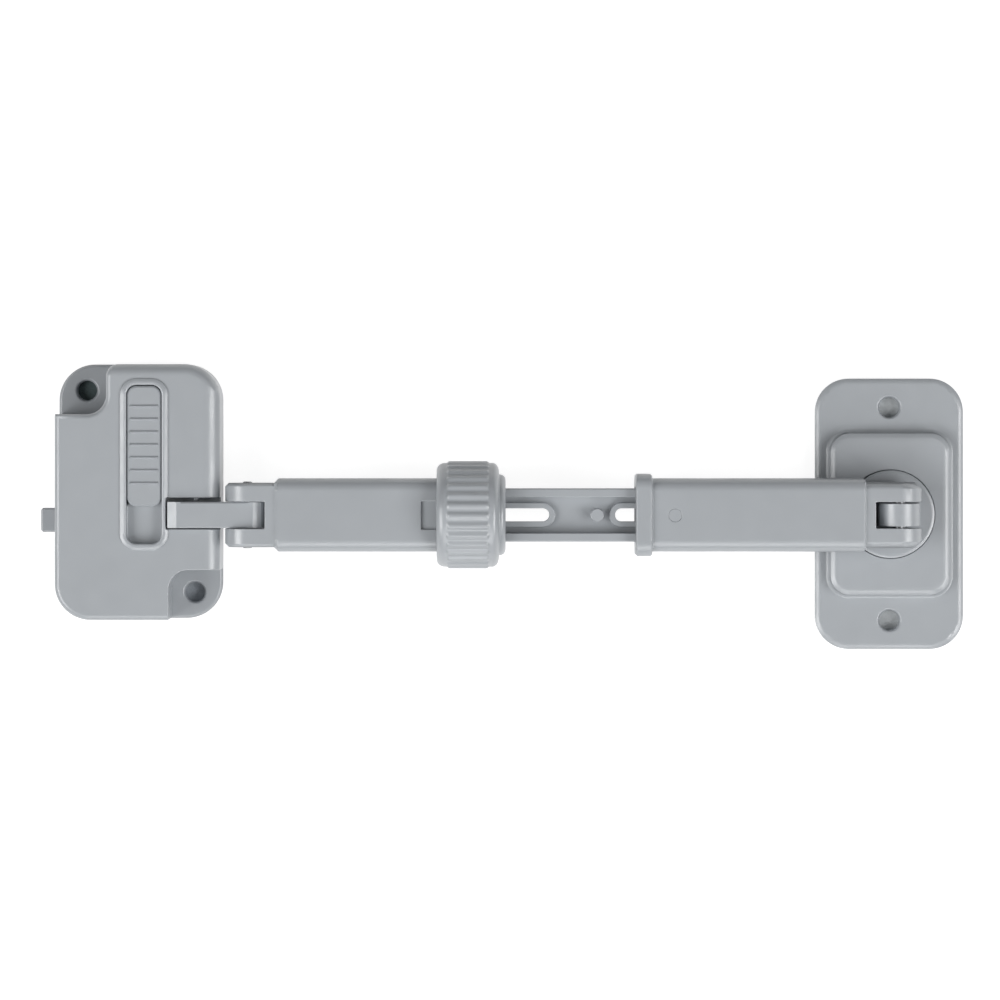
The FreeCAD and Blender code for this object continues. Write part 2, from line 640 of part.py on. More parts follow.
def link_arm():
    """Arm with round ends and a notched lug that snaps into the lock box."""
    half = ARM_W / 2
    radius = ARM_H / 2
    body = block(ARM_END_X, FORK_PIN_X, -half, half, ROD_Z - radius, ROD_Z + radius)
    for x in (ARM_END_X, FORK_PIN_X):
        body = body.fuse(Part.makeCylinder(radius, ARM_W, Vector(x, -half, ROD_Z), Vector(0, 1, 0)))
    body = body.removeSplitter()
    body = body.makeChamfer(ARM_EDGE, edges_at(body, lambda box: box.YLength < TOUCH))
    body = body.cut(cross_pin(FORK_PIN_R + SHAFT_GAP, FORK_PIN_X, ARM_W))
    low = ARM_LOW_Z - LUG_DOWN_LEN
    x0 = ARM_END_X - LUG_DOWN_X / 2
    x1 = ARM_END_X + LUG_DOWN_X / 2
    lug = block(x0, x1, -LUG_DOWN_Y / 2, LUG_DOWN_Y / 2, low, ROD_Z)
    lug = lug.makeChamfer(LUG_NOTCH, edges_at(lug, lambda box: at_level(low)(box) and box.XLength < TOUCH))
    notch_z = low + LUG_NOTCH_UP
    for notch_x0, notch_x1 in ((x0 - PAST, x0 + LUG_NOTCH), (x1 - LUG_NOTCH, x1 + PAST)):
        lug = lug.cut(block(notch_x0, notch_x1, -LUG_DOWN_Y, LUG_DOWN_Y, notch_z, notch_z + LUG_NOTCH_H))
    return body.fuse(lug)


def lock_outline(inset, z0, z1):
    """Slab of the lock box's outline, shrunk by an inset."""
    return slab(LOCK_X, LOCK_UP, LOCK_W - 2 * inset, LOCK_H - 2 * inset, LOCK_CORNER - inset, z0, z1)


def corner_notches(grow, z0, z1):
    """The two opposite corners where the lock base shows, grown by a wall."""
    width = NOTCH_W + grow
    height = NOTCH_H + grow
    corner = NOTCH_ROUND + grow
    solids = []
    for side in (-1, 1):
        x = LOCK_X + side * (LOCK_W / 2 - width / 2)
        y = LOCK_UP - side * (LOCK_H / 2 - height / 2)
        reach = 2 * corner
        solids.append(slab(x + side * reach / 2, y - side * reach / 2, width + reach, height + reach,
                           corner, z0, z1))
    return solids


def lock_hole_places():
    """Centres of the lock box's two screw holes."""
    return [(LOCK_X + side * LOCK_HOLE_X, LOCK_UP - side * LOCK_HOLE_Y) for side in (-1, 1)]


def boss_places():
    """Centres of the four cover screws."""
    left = LOCK_LEFT_X + BOSS_INSET
    low = LOCK_UP - LOCK_H / 2 + BOSS_INSET
    beside_spring = SPRING_X - SLIDER_SPRING_R - SPRING_SEAT_RIM - BOSS_R - SLIDE_GAP
    return [(left, low), (LOCK_RIGHT_X - BOSS_INSET, LOCK_UP + LOCK_H / 2 - BOSS_INSET),
            (left, LOCK_UP + BOSS_MID_UP), (beside_spring, low)]


def lock_base():
    """Back plate of the lock box, its edge eased where it shows, with posts, rails and seats."""
    body = lock_outline(0, PAD_T, LOCK_FLOOR_Z)
    eased = body.makeChamfer(LOCK_CORNER_EDGE, edges_at(body, at_level(LOCK_FLOOR_Z)))
    body = body.cut(corner_notches(0, PAD_T - PAST, LOCK_FLOOR_Z + PAST)).fuse(eased)
    fittings = [clip_seat(-1), clip_seat(1), spring_seat(), button_guide(), leaf_post()]
    body = body.fuse(fittings + latch_rails())
    body = body.removeSplitter()
    for x, y in lock_hole_places():
        body = body.cut(screw_hole(x, y, LOCK_HOLE_R, LOCK_FLOOR_Z))
    for x, y in boss_places():
        body = body.cut(post(SCREW_R + SHAFT_GAP, x, y, 0, LOCK_FLOOR_Z + PAST))
        body = body.cut(screw_head(x, y, PRESS_GAP))
    return body


def clip_seat(side):
    """Low wall that keeps the spring clip in place."""
    inner = CLIP_W / 2 + SEAT_GAP
    y0, y1 = sorted((side * inner, side * (inner + CLIP_SEAT_T)))
    return block(ARM_END_X - CLIP_OUT, ARM_END_X + CLIP_OUT, y0, y1,
                 LOCK_FLOOR_Z, LOCK_FLOOR_Z + CLIP_T)


def latch_rails():
    """Two low rails that the latch plate slides on."""
    left_x = WINDOW_X + WINDOW_W + RAIL_FROM_WINDOW
    left = block(left_x, left_x + RAIL_T, FINGER_LOW_Y - THUMB_TRAVEL, STEM_Y + STEM_H / 2,
                 LOCK_FLOOR_Z, LATCH_Z - SEAT_GAP)
    right_x = ARM_END_X + FINGER_IN
    right = block(right_x + SLIDE_GAP, right_x + LATCH_FINGER_T - SLIDE_GAP, FINGER_LOW_Y - THUMB_TRAVEL,
                  STEM_Y + STEM_H / 2, LOCK_FLOOR_Z, LATCH_Z - SEAT_GAP)
    return [left, right]


def spring_seat():
    """Post that the slider spring pushes against."""
    half = SLIDER_SPRING_R + SPRING_SEAT_RIM
    return block(SPRING_X - half, SPRING_X + half, SPRING_SEAT_Y - GUIDE_T, SPRING_SEAT_Y - SEAT_GAP,
                 LOCK_FLOOR_Z, SPRING_Z + half)


def button_guide():
    """Forked post that guides the side button's stem."""
    half = BUTTON_SPRING_R + SPRING_SEAT_RIM
    centre = BUTTON_CENTRE_Y
    wall = block(GUIDE_X, GUIDE_X + GUIDE_T, centre - half, centre + half, LOCK_FLOOR_Z, BUTTON_Z + half)
    room = BUTTON_STEM / 2 + SEAT_GAP
    return wall.cut(block(GUIDE_X - PAST, GUIDE_X + GUIDE_T + PAST, centre - room, centre + room,
                          BUTTON_Z - room, BUTTON_Z + half + PAST))


def leaf_x():
    """Left face of the detent leaf, just ahead of the button's stem."""
    return BUTTON_TIP_X + SLIDE_GAP


def leaf_post():
    """Slotted post that holds the detent leaf."""
    top_y = BUTTON_CENTRE_Y + LEAF_LEN
    body = block(leaf_x() - LEAF_POST_WALL, leaf_x() + LEAF_T + LEAF_POST_WALL, top_y - LEAF_GRIP,
                 top_y + LEAF_POST_END, LOCK_FLOOR_Z, LEAF_Z + LEAF_H)
    return body.cut(block(leaf_x() - SHAFT_GAP, leaf_x() + LEAF_T + SHAFT_GAP, top_y - LEAF_GRIP - PAST,
                          top_y + SHAFT_GAP, LEAF_Z - SHAFT_GAP, LEAF_Z + LEAF_H + PAST))


def screw_head(x, y, gap):
    """Countersunk head behind the lock base, or its seat."""
    return Part.makeCone(SCREW_HEAD_R + gap, SCREW_R + gap, SCREW_HEAD_T, Vector(x, y, PAD_T))


def lock_pad():
    """Foam pad behind the lock box."""
    return lock_outline(PAD_INSET, 0, PAD_T)


def cover_screws():
    """Four screws that join the cover to the lock base."""
    screws = []
    for x, y in boss_places():
        shank = post(SCREW_R, x, y, PAD_T + SCREW_HEAD_T / 2, PAD_T + SCREW_LEN)
        screws.append(shank.fuse(screw_head(x, y, 0)).removeSplitter())
    return Part.makeCompound(screws)


def lock_cover():
    """Hollow cover with two open corners, the thumb slider's track and the arm's pocket."""
    shell = lock_outline(0, LOCK_FLOOR_Z, LOCK_TOP_Z)
    shell = shell.cut(corner_notches(0, LOCK_FLOOR_Z - PAST, LOCK_TOP_Z + PAST))
    shell = round_cover(shell)
    shell = shell.cut(cover_hollow())
    rim = track_slab(RIM_W, LOCK_TOP_Z - LOCK_WALL / 2, LOCK_TOP_Z + RIM_RISE)
    rim = rim.makeChamfer(RIM_RISE / 2, edges_at(rim, at_level(LOCK_TOP_Z + RIM_RISE)))
    shell = shell.fuse(rim)
    shell = shell.cut(arm_pocket(0, ARM_POCKET_Z)).fuse(arm_tick())
    shell = shell.cut(track_slab(0, TRACK_FLOOR_Z, LOCK_TOP_Z + RIM_RISE + PAST))
    shell = shell.fuse([post(BOSS_R, x, y, LOCK_FLOOR_Z, LOCK_TOP_Z - LOCK_WALL) for x, y in boss_places()])
    for x, y in boss_places():
        shell = shell.cut(post(SCREW_R + SHAFT_GAP, x, y, 0, PAD_T + SCREW_LEN + SEAT_GAP))
    return shell.cut([stem_slot(), lug_hole(), button_hole()]).removeSplitter()


def round_cover(shell):
    """Rounds the cover's front edges, more on the side that faces the rod."""
    top = at_level(LOCK_TOP_Z)
    left_and_low = edges_at(shell, lambda box: top(box) and (
        box.XMax < LOCK_X - LOCK_W / 2 + LOCK_CORNER + SEAT_GAP and box.YMax < LOCK_UP + LOCK_H / 2 - NOTCH_H
        or box.YMax < LOCK_UP - LOCK_H / 2 + SEAT_GAP))
    shell = shell.makeFillet(LOCK_EDGE, left_and_low)
    right = edges_at(shell, lambda box: top(box) and box.XMax > LOCK_RIGHT_X - SEAT_GAP
                     and box.YMax > LOCK_UP - LOCK_H / 2 + NOTCH_H + SEAT_GAP)
    upper = edges_at(shell, lambda box: top(box) and box.YMin > LOCK_UP + LOCK_H / 2 - SEAT_GAP)
    return shell.makeFillet(LOCK_RIGHT_EDGE, right + upper)


def cover_hollow():
    """Room inside the cover, clear of its notches, track and pocket walls."""
    room = lock_outline(LOCK_WALL, LOCK_FLOOR_Z - PAST, LOCK_TOP_Z - LOCK_WALL)
    room = room.cut(corner_notches(LOCK_WALL, LOCK_FLOOR_Z - 2 * PAST, LOCK_TOP_Z))
    room = room.cut(track_slab(LOCK_WALL - SLIDE_GAP, TRACK_FLOOR_Z - LOCK_WALL, LOCK_TOP_Z))
    return room.cut(arm_pocket(LOCK_WALL - SLIDE_GAP, ARM_POCKET_Z - LOCK_WALL))


def track_slab(grow, z0, z1):
    """The thumb slider's track outline, grown by a wall."""
    return slab(TRACK_X, TRACK_Y, TRACK_W + 2 * grow, TRACK_H + 2 * grow, TRACK_ROUND + grow, z0, z1)


def arm_pocket(grow, z0):
    """Room for the link arm's end, open to the front and towards the rod."""
    left = ARM_END_X - ARM_H / 2 - SLIDE_GAP - grow
    return block(left, LOCK_RIGHT_X + PAST, -ARM_POCKET_BELOW - grow, ARM_POCKET_ABOVE + grow,
                 z0, LOCK_TOP_Z + 2 * PAST)


def arm_tick():
    """Small upright rib that centres the arm in its pocket."""
    x = LOCK_RIGHT_X - ARM_POCKET_TICK_X
    return block(x - ARM_POCKET_TICK / 2, x + ARM_POCKET_TICK / 2, ARM_W / 2 + SLIDE_GAP, ARM_POCKET_ABOVE,
                 ARM_POCKET_Z, LOCK_TOP_Z - LOCK_WALL)


def stem_slot():
    """Slot in the track's floor for the thumb slider's stem."""
    return block(TRACK_X - STEM_W / 2 - SLIDE_GAP, TRACK_X + STEM_W / 2 + SLIDE_GAP,
                 STEM_Y - STEM_H / 2 - THUMB_TRAVEL - SLIDE_GAP, STEM_Y + STEM_H / 2 + SLIDE_GAP,
                 TRACK_FLOOR_Z - LOCK_WALL - PAST, TRACK_FLOOR_Z + PAST)


def lug_hole():
    """Hole in the pocket's floor for the arm's lug."""
    half_x = LUG_DOWN_X / 2 + SLIDE_GAP
    half_y = LUG_DOWN_Y / 2 + SLIDE_GAP
    return block(ARM_END_X - half_x, ARM_END_X + half_x, -half_y, half_y,
                 ARM_POCKET_Z - LOCK_WALL - PAST, ARM_POCKET_Z + PAST)


def button_hole():
    """Window in the cover's side wall for the side button."""
    half_y = BUTTON_W / 2 + SLIDE_GAP / 2
    half_z = BUTTON_H / 2 + SLIDE_GAP / 2
    return block(LOCK_LEFT_X - PAST, LOCK_LEFT_X + LOCK_WALL + PAST, BUTTON_CENTRE_Y - half_y,
                 BUTTON_CENTRE_Y + half_y, BUTTON_Z - half_z, BUTTON_Z + half_z)


def thumb_slider():
    """Thumb slider with raised ridges and a stem down to the latch plate."""
    low = TRACK_FLOOR_Z + SEAT_GAP
    top = LOCK_TOP_Z + THUMB_RISE
    pad = slab(TRACK_X, THUMB_Y, THUMB_W, THUMB_H, THUMB_ROUND, low, top)
    pad = pad.makeChamfer(THUMB_EDGE, edges_at(pad, at_level(top)))
    first = THUMB_Y - THUMB_H / 2 + RIDGE_LOW
    ridges = [grip_ridge(first + index * RIDGE_PITCH, top) for index in range(RIDGE_COUNT)]
    stem = block(TRACK_X - STEM_W / 2, TRACK_X + STEM_W / 2, STEM_Y - STEM_H / 2, STEM_Y + STEM_H / 2,
                 LATCH_Z + LATCH_T / 2, low + THUMB_RISE)
    return pad.fuse(ridges + [stem]).removeSplitter()


def grip_ridge(y, top):
    """Raised bar across the thumb slider, steep on its upper side."""
    half = RIDGE_W / 2
    profile = [Vector(TRACK_X - half, y - RIDGE_T, top - RIDGE_RISE),
               Vector(TRACK_X - half, y - RIDGE_T, top),
               Vector(TRACK_X - half, y + RIDGE_T / 3, top + RIDGE_RISE),
               Vector(TRACK_X - half, y + RIDGE_T, top),
               Vector(TRACK_X - half, y + RIDGE_T, top - RIDGE_RISE)]
    return Part.Face(Part.makePolygon(profile + profile[:1])).extrude(Vector(RIDGE_W, 0, 0))


def latch_plate():
    """Sliding yoke whose fingers back up the spring clip; its window takes the detent."""
    z0 = LATCH_Z
    z1 = LATCH_Z + LATCH_T
    left_in = ARM_END_X - FINGER_IN
    right_in = ARM_END_X + FINGER_IN
    bar_top = LATCH_BAR_LOW_Y + LATCH_BAR_H
    left = block(LATCH_LEFT_X, left_in, FINGER_LOW_Y, bar_top, z0, z1)
    right = block(right_in, right_in + LATCH_FINGER_T, FINGER_LOW_Y, bar_top, z0, z1)
    cross = block(left_in - LATCH_FINGER_T / 2, right_in + LATCH_FINGER_T / 2, LATCH_BAR_LOW_Y, bar_top, z0, z1)
    lip_half = SLIDER_SPRING_R + SPRING_SEAT_RIM
    lip = block(SPRING_X - lip_half, SPRING_X + lip_half, FINGER_LOW_Y, WINDOW_LOW_Y, z0, z0 + LATCH_LIP_H)
    hub = block(TRACK_X - STEM_W / 2 - LATCH_HUB_WALL, TRACK_X + STEM_W / 2 + LATCH_HUB_WALL,
                LATCH_BAR_LOW_Y, bar_top, z0, TRACK_FLOOR_Z - LOCK_WALL - SEAT_GAP)
    body = left.fuse([right, cross, lip, hub]).removeSplitter()
    body = body.cut(block(WINDOW_X, WINDOW_X + WINDOW_W, WINDOW_LOW_Y, WINDOW_LOW_Y + WINDOW_H,
                          z0 - PAST, z1 + SEAT_GAP / 2))
    tooth_y = WINDOW_LOW_Y + TOOTH_UP
    body = body.fuse(block(WINDOW_X - SHAFT_GAP, WINDOW_X + TOOTH_REACH, tooth_y, tooth_y + TOOTH_H, z0, z1))
    socket = block(TRACK_X - STEM_W / 2 - SHAFT_GAP, TRACK_X + STEM_W / 2 + SHAFT_GAP,
                   STEM_Y - STEM_H / 2 - SHAFT_GAP, STEM_Y + STEM_H / 2 + SHAFT_GAP,
                   z0 + LATCH_T / 2 - SHAFT_GAP, TRACK_FLOOR_Z)
    return body.cut(socket).removeSplitter()


def catch_clip():
    """Steel clip whose two sprung legs grip the lug's notches."""
    z0 = LOCK_FLOOR_Z + SHAFT_GAP
    inner = CLIP_OUT - CLIP_T
    floor = block(ARM_END_X - CLIP_OUT, ARM_END_X + CLIP_OUT, -CLIP_W / 2, CLIP_W / 2, z0, z0 + CLIP_T)
    solids = [floor]
    notch_mid = ARM_LOW_Z - LUG_DOWN_LEN + LUG_NOTCH_UP + LUG_NOTCH_H / 2
    for side in (-1, 1):
        x0, x1 = sorted((ARM_END_X + side * inner, ARM_END_X + side * CLIP_OUT))
        solids.append(block(x0, x1, -CLIP_W / 2, CLIP_W / 2, z0, z0 + CLIP_LEG))
        grip = ARM_END_X + side * inner
        tip = ARM_END_X + side * (inner - LUG_NOTCH)
        solids.append(side_plate([(grip, notch_mid - CLIP_T), (tip, notch_mid), (grip, notch_mid + CLIP_T),
                                  (grip + side * CLIP_T / 2, notch_mid)], -CLIP_W / 2, CLIP_W / 2))
    return solids[0].fuse(solids[1:]).removeSplitter()


def detent_leaf():
    """Leaf that stands in the latch plate's window until the side button bends it aside."""
    x0 = leaf_x()
    low_y = BUTTON_CENTRE_Y - BUTTON_STEM / 2
    blade = block(x0, x0 + LEAF_T, low_y, BUTTON_CENTRE_Y + LEAF_LEN, LEAF_Z, LEAF_Z + LEAF_H)
    tip_x = WINDOW_X + LEAF_TIP_W / 2
    tip_y = WINDOW_LOW_Y + TOOTH_UP - SLIDE_GAP - LEAF_TIP_W
    arm = block(x0, tip_x + LEAF_TIP_W, tip_y, tip_y + LEAF_TIP_W, LEAF_Z, LEAF_Z + LEAF_T)
    tip = block(tip_x, tip_x + LEAF_TIP_W, tip_y, tip_y + LEAF_TIP_W, LATCH_Z + SEAT_GAP, LEAF_Z + LEAF_T)
    return blade.fuse([arm, tip]).removeSplitter()


def slider_spring():
    """Spring that pushes the latch plate and thumb slider back."""
    return coil(Vector(SPRING_X, SPRING_SEAT_Y, SPRING_Z), Vector(0, 1, 0), SPRING_LEN - SEAT_GAP,
                SLIDER_SPRING_R, SLIDER_SPRING_TURNS)


def button_spring():
    """Spring round the side button's stem."""
    start = FLANGE_X + BUTTON_FLANGE_T
    return coil(Vector(start + SEAT_GAP, BUTTON_CENTRE_Y, BUTTON_Z), Vector(1, 0, 0),
                GUIDE_X - start - 2 * SEAT_GAP, BUTTON_SPRING_R, BUTTON_SPRING_TURNS)


def side_button():
    """Push button in the lock box's side, with a flange that keeps it in."""
    half_y = BUTTON_W / 2
    half_z = BUTTON_H / 2
    tab = block(LOCK_LEFT_X - BUTTON_PROUD, FLANGE_X + BUTTON_FLANGE_T, BUTTON_CENTRE_Y - half_y,
                BUTTON_CENTRE_Y + half_y, BUTTON_Z - half_z, BUTTON_Z + half_z)
    tab = tab.makeChamfer(BUTTON_EDGE, edges_at(tab, lambda box: box.XMin < FLANGE_X - LOCK_WALL))
    grow = BUTTON_FLANGE
    flange = block(FLANGE_X, FLANGE_X + BUTTON_FLANGE_T, BUTTON_CENTRE_Y - half_y - grow,
                   BUTTON_CENTRE_Y + half_y + grow, BUTTON_Z - half_z - grow / 2, BUTTON_Z + half_z + grow)
    stem = block(FLANGE_X, BUTTON_TIP_X, BUTTON_CENTRE_Y - BUTTON_STEM / 2,
                 BUTTON_CENTRE_Y + BUTTON_STEM / 2, BUTTON_Z - BUTTON_STEM / 2, BUTTON_Z + BUTTON_STEM / 2)
    return tab.fuse([flange, stem]).removeSplitter()


PIECES = (base_plate, base_pad, turret, turret_washer, turret_screw, turret_pin, right_tube, stop_pin,
          inner_bar, left_tube, clamp_collar, fork_pin, link_arm, lock_base, lock_pad, lock_cover,
          cover_screws, thumb_slider, latch_plate, side_button, catch_clip, detent_leaf, slider_spring,
          button_spring)

os.makedirs("parts", exist_ok=True)
for piece in PIECES:
    shape = piece()
    shape.exportStep("parts/" + piece.__name__ + ".step")
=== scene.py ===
import json
import math

import bmesh
import bpy
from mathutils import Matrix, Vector

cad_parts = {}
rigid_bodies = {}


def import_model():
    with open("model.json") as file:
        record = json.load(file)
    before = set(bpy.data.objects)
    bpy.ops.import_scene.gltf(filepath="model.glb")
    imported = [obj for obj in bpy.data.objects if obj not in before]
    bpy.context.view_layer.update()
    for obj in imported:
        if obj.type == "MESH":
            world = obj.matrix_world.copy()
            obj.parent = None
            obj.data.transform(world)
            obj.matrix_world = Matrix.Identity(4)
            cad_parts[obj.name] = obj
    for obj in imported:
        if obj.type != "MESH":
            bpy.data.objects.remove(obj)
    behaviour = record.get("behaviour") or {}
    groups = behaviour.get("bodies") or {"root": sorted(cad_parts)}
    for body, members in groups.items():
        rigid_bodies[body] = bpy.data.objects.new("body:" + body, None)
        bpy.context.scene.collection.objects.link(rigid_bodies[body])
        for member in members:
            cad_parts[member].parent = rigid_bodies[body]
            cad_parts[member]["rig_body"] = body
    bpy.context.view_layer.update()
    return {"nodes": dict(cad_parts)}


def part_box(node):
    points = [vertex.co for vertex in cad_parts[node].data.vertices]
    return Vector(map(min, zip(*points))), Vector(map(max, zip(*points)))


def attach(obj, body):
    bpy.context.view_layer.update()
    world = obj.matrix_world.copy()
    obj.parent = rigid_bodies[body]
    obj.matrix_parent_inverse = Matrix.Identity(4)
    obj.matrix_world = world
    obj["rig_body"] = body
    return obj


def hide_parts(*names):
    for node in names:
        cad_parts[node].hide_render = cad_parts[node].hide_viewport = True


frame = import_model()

# Metres throughout. X runs along the rod towards the base, Y up the plates, Z off the wall.
MM = 0.001

# The view: straight at the wall, the camera lifted a little and its picture shifted back down
CAMERA_X = -98.3 * MM
CAMERA_Y = 3.7 * MM
CAMERA_LIFT = 20 * MM
CAMERA_Z = 1200 * MM
CAMERA_SENSOR = 36.0
CAMERA_LENS = 170.5
CAMERA_NEAR = 0.01
CAMERA_FAR = 20.0

# The studio. Each lamp: place, size across and upright, watts
WHITE = (1.0, 1.0, 1.0, 1.0)
WORLD_STRENGTH = 0.10
LIT_PLACE = (CAMERA_X, 0.0, 0.015)
LAMPS = {
    "front": ((CAMERA_X, 0.2, 1.5), 0.9, 0.9, 0.4),
    "low": ((CAMERA_X, -1.15, 0.96), 0.9, 0.8, 5.4),
    "right": ((CAMERA_X + 1.10, -0.3, 1.02), 1.1, 0.85, 14.0),
    "left": ((CAMERA_X - 1.10, -0.3, 1.02), 1.1, 0.85, 14.0),
}
FLOOR_HALF = 3.0
FLOOR_SHADER = {"Base Color": (0.42, 0.42, 0.42, 1.0), "Roughness": 0.9, "Specular IOR Level": 0.0}
FLOOR_GLOW = 0.85

# Finishes. Tint: amount, scale. Gloss: lowest and highest roughness, scale. Grain: scale, strength, depth
PLASTIC = {
    "shader": {"Base Color": (0.40, 0.423, 0.447, 1.0), "Roughness": 0.34, "Specular IOR Level": 0.95,
               "IOR": 1.58},
    "tint": (0.015, 45.0), "gloss": (0.29, 0.40, 260.0), "grain": (5200.0, 0.06, 0.05 * MM),
}
FOAM = {
    "shader": {"Base Color": (0.50, 0.52, 0.53, 1.0), "Roughness": 0.9, "Specular IOR Level": 0.2},
    "tint": (0.08, 900.0), "gloss": (0.84, 0.96, 1500.0), "grain": (2600.0, 0.5, 0.2 * MM),
}
PIN_STEEL = {
    "shader": {"Base Color": (0.40, 0.41, 0.42, 1.0), "Roughness": 0.32, "Metallic": 1.0},
    "tint": (0.05, 700.0), "gloss": (0.26, 0.4, 900.0), "grain": (4200.0, 0.12, 0.03 * MM),
}
SPRING_STEEL = {
    "shader": {"Base Color": (0.45, 0.46, 0.47, 1.0), "Roughness": 0.32, "Metallic": 1.0},
    "tint": (0.05, 700.0), "gloss": (0.26, 0.4, 900.0), "grain": (4200.0, 0.12, 0.03 * MM),
}
EVEN = (1.0, 1.0, 1.0)
DRAWN_ALONG_Y = (1.0, 0.06, 1.0)
DRAWN_ALONG_Z = (1.0, 1.0, 0.06)
NOISE_LOW = 0.3
NOISE_HIGH = 0.7
TINT_DETAIL = 2.0
GRAIN_DETAIL = 3.0

# Painted shade on the lock box's pad at the bottom of its two screw holes, standing in for the shade the
# holes' walls cast there: place and colour
HOLE_REACH = (5.0 * MM, 5.0 * MM, 0.8 * MM)
HOLE_SPREAD = 0.25
PAINTED_HOLE_SHADES = (
    ((-202.3 * MM, 31.0 * MM, 1.0 * MM), (0.16, 0.2, 0.2, 1.0)),
    ((-175.3 * MM, -19.6 * MM, 1.0 * MM), (0.6, 0.62, 0.66, 1.0)),
)

# Edges: which ones are square, how wide their rounding is, and how much of a face it may take
WELD = 0.001 * MM
FLAT_ANGLE = math.radians(0.6)
FLAT_COSINE = math.cos(FLAT_ANGLE)
FLAT_POWER = 2.0
HARD_ANGLE = math.radians(52)
SQUARE_ANGLE = math.radians(66)
RIDGE_ANGLE = math.radians(14)
CRISP = ("thumb_slider", "link_arm")
EDGE_SHARE = 0.46
EDGE_STEPS = 3
MOULDED_EDGES = {
    "base_plate": 0.22 * MM, "turret": 0.2 * MM, "right_tube": 0.2 * MM, "stop_pin": 0.06 * MM,
    "inner_bar": 0.16 * MM, "left_tube": 0.22 * MM, "link_arm": 0.2 * MM, "lock_base": 0.2 * MM,
    "lock_cover": 0.25 * MM, "thumb_slider": 0.15 * MM, "side_button": 0.2 * MM, "latch_plate": 0.12 * MM,
}
STEEL_EDGES = {
    "turret_pin": 0.2 * MM, "fork_pin": 0.3 * MM, "turret_screw": 0.15 * MM, "turret_washer": 0.15 * MM,
}
PAD_EDGE = 0.2 * MM

# The lock cover's top, where it falls away towards its right side
CROWN_LEVEL = 17.5 * MM
CROWN_START = -173.3 * MM
CROWN_WIDTH = 2.0 * MM
CROWN_DROP = 0.146 * MM
CROWN_CUTS = 4
CROWN_POWER = 3.0

# The base plate's raised flats, whose chamfers are rounds. Each: level, chamfer, half sizes, corner,
# reach into the flat, fall, in mm
BORDERS = (
    (8.0, 1.3, 15.0, 20.3, 4.8, 0.9, 0.75),
    (4.0, 1.3, 18.65, 34.15, 8.4, 0.35, 0.62),
)
BORDER_CUTS = 3
BORDER_POWER = 2.2
BORDER_SLACK = 0.02 * MM

# The rim round the slider's track
RIM_TOP_Z = 18.3 * MM
RIM_SHOULDER = 0.48 * MM
RIM_FALL = 0.25 * MM

# The thumb slider's grip
GRIP_X = -187.2 * MM
GRIP_HALF = 3.6 * MM
GRIP_LOW_Z = 17.8 * MM
GRIP_STEP = 0.2 * MM
GRIP_FIRST_Y = 8.45 * MM
GRIP_PITCH = 3.2 * MM
GRIP_COUNT = 7
GRIP_REACH = 1.3 * MM
GRIP_SHIFT = 0.5 * MM
GRIP_FOOT = 0.42 * MM

# The link arm's ends. Each: middle, side, start of the slope on top, reach along X, greatest reach
ROD_Z = 16.0 * MM
ARM_R = 3.65 * MM
ARM_CORE_R = 2.6 * MM
ARM_SLOPE = 0.41
ARM_TURNS = (math.radians(20), math.radians(52))
ARM_SIDE_COSINE = 0.5
ARM_ENDS = (
    (-161.4 * MM, 1, 1.4 * MM, 4.43 * MM, 4.43 * MM),
    (-177.75 * MM, -1, 1.3 * MM, 3.56 * MM, 4.6 * MM),
)

# The turret's disc
DISC_EDGE_R = 10.3 * MM
DISC_LOW_Z = 6.5 * MM
DISC_SHOULDER_Z = 9.0 * MM
DISC_FLAT_R = 10.05 * MM
DISC_OUT_R = 11.02 * MM

# The knurled collar: its section, with small rounds drawn as two chords, and its ribs
COLLAR_CORE_R = 13.0 * MM
COLLAR_BORE_R = 10.9 * MM
COLLAR_LAND_R = 11.0 * MM
COLLAR_BACK_ROUND = 2.1 * MM
COLLAR_FRONT_ROUND = 1.6 * MM
COLLAR_FRONT_R = 10.6 * MM
COLLAR_NOSE_R = 10.1 * MM
COLLAR_NOSE_BORE_R = 8.4 * MM
COLLAR_NOSE_LEN = 1.65 * MM
COLLAR_NOSE_FOOT = 0.15 * MM
COLLAR_NOSE_LAND = 0.3 * MM
COLLAR_NOSE_WALL = 3.9 * MM
COLLAR_EDGE = 0.25 * MM
COLLAR_CHORD = 0.07 * MM
ROUND_STEPS = 7
RIB_COUNT = 32
RIB_RISE = 0.42 * MM
RIB_TOP = 0.1 * MM
RIB_FOOT = 1.22 * MM
RIB_BACK = 2.4 * MM
RIB_FRONT = 2.3 * MM
RIB_END = 0.8 * MM
RIB_END_STEPS = 5
RIB_STEP = 0.14 * MM
RIB_STEPS = 8
SECTOR_WELD = 5 * WELD

# Coil springs of round wire. Each: turns, axis. The pitch closes up over the first and last turns
SPRINGS = {"slider_spring": (7, 1), "button_spring": (4, 0)}
WIRE_R = 0.25 * MM
WIRE_SIDES = 10
TURN_STEPS = 28
PITCH_POINTS = ((0.12, 0.045), (0.88, 0.955))


def material(name, sockets):
    """A new material with its finish on the shader's own sockets."""
    made = bpy.data.materials.new(name)
    made.use_nodes = True
    shader = made.node_tree.nodes["Principled BSDF"]
    for socket, value in sockets.items():
        shader.inputs[socket].default_value = value
    return made


def node(made, kind, **values):
    """Adds a shader node and sets its plain inputs by name."""
    added = made.node_tree.nodes.new(kind)
    for name, value in values.items():
        added.inputs[name].default_value = value
    return added


def object_noise(made, scale, detail, stretch=EVEN):
    """Noise that sits in the piece itself, in metres."""
    links = made.node_tree.links
    place = node(made, "ShaderNodeTexCoord")
    spread = node(made, "ShaderNodeMapping")
    spread.inputs["Scale"].default_value = stretch
    noise = node(made, "ShaderNodeTexNoise", Scale=scale, Detail=detail)
    links.new(place.outputs["Object"], spread.inputs["Vector"])
    links.new(spread.outputs["Vector"], noise.inputs["Vector"])
    return noise


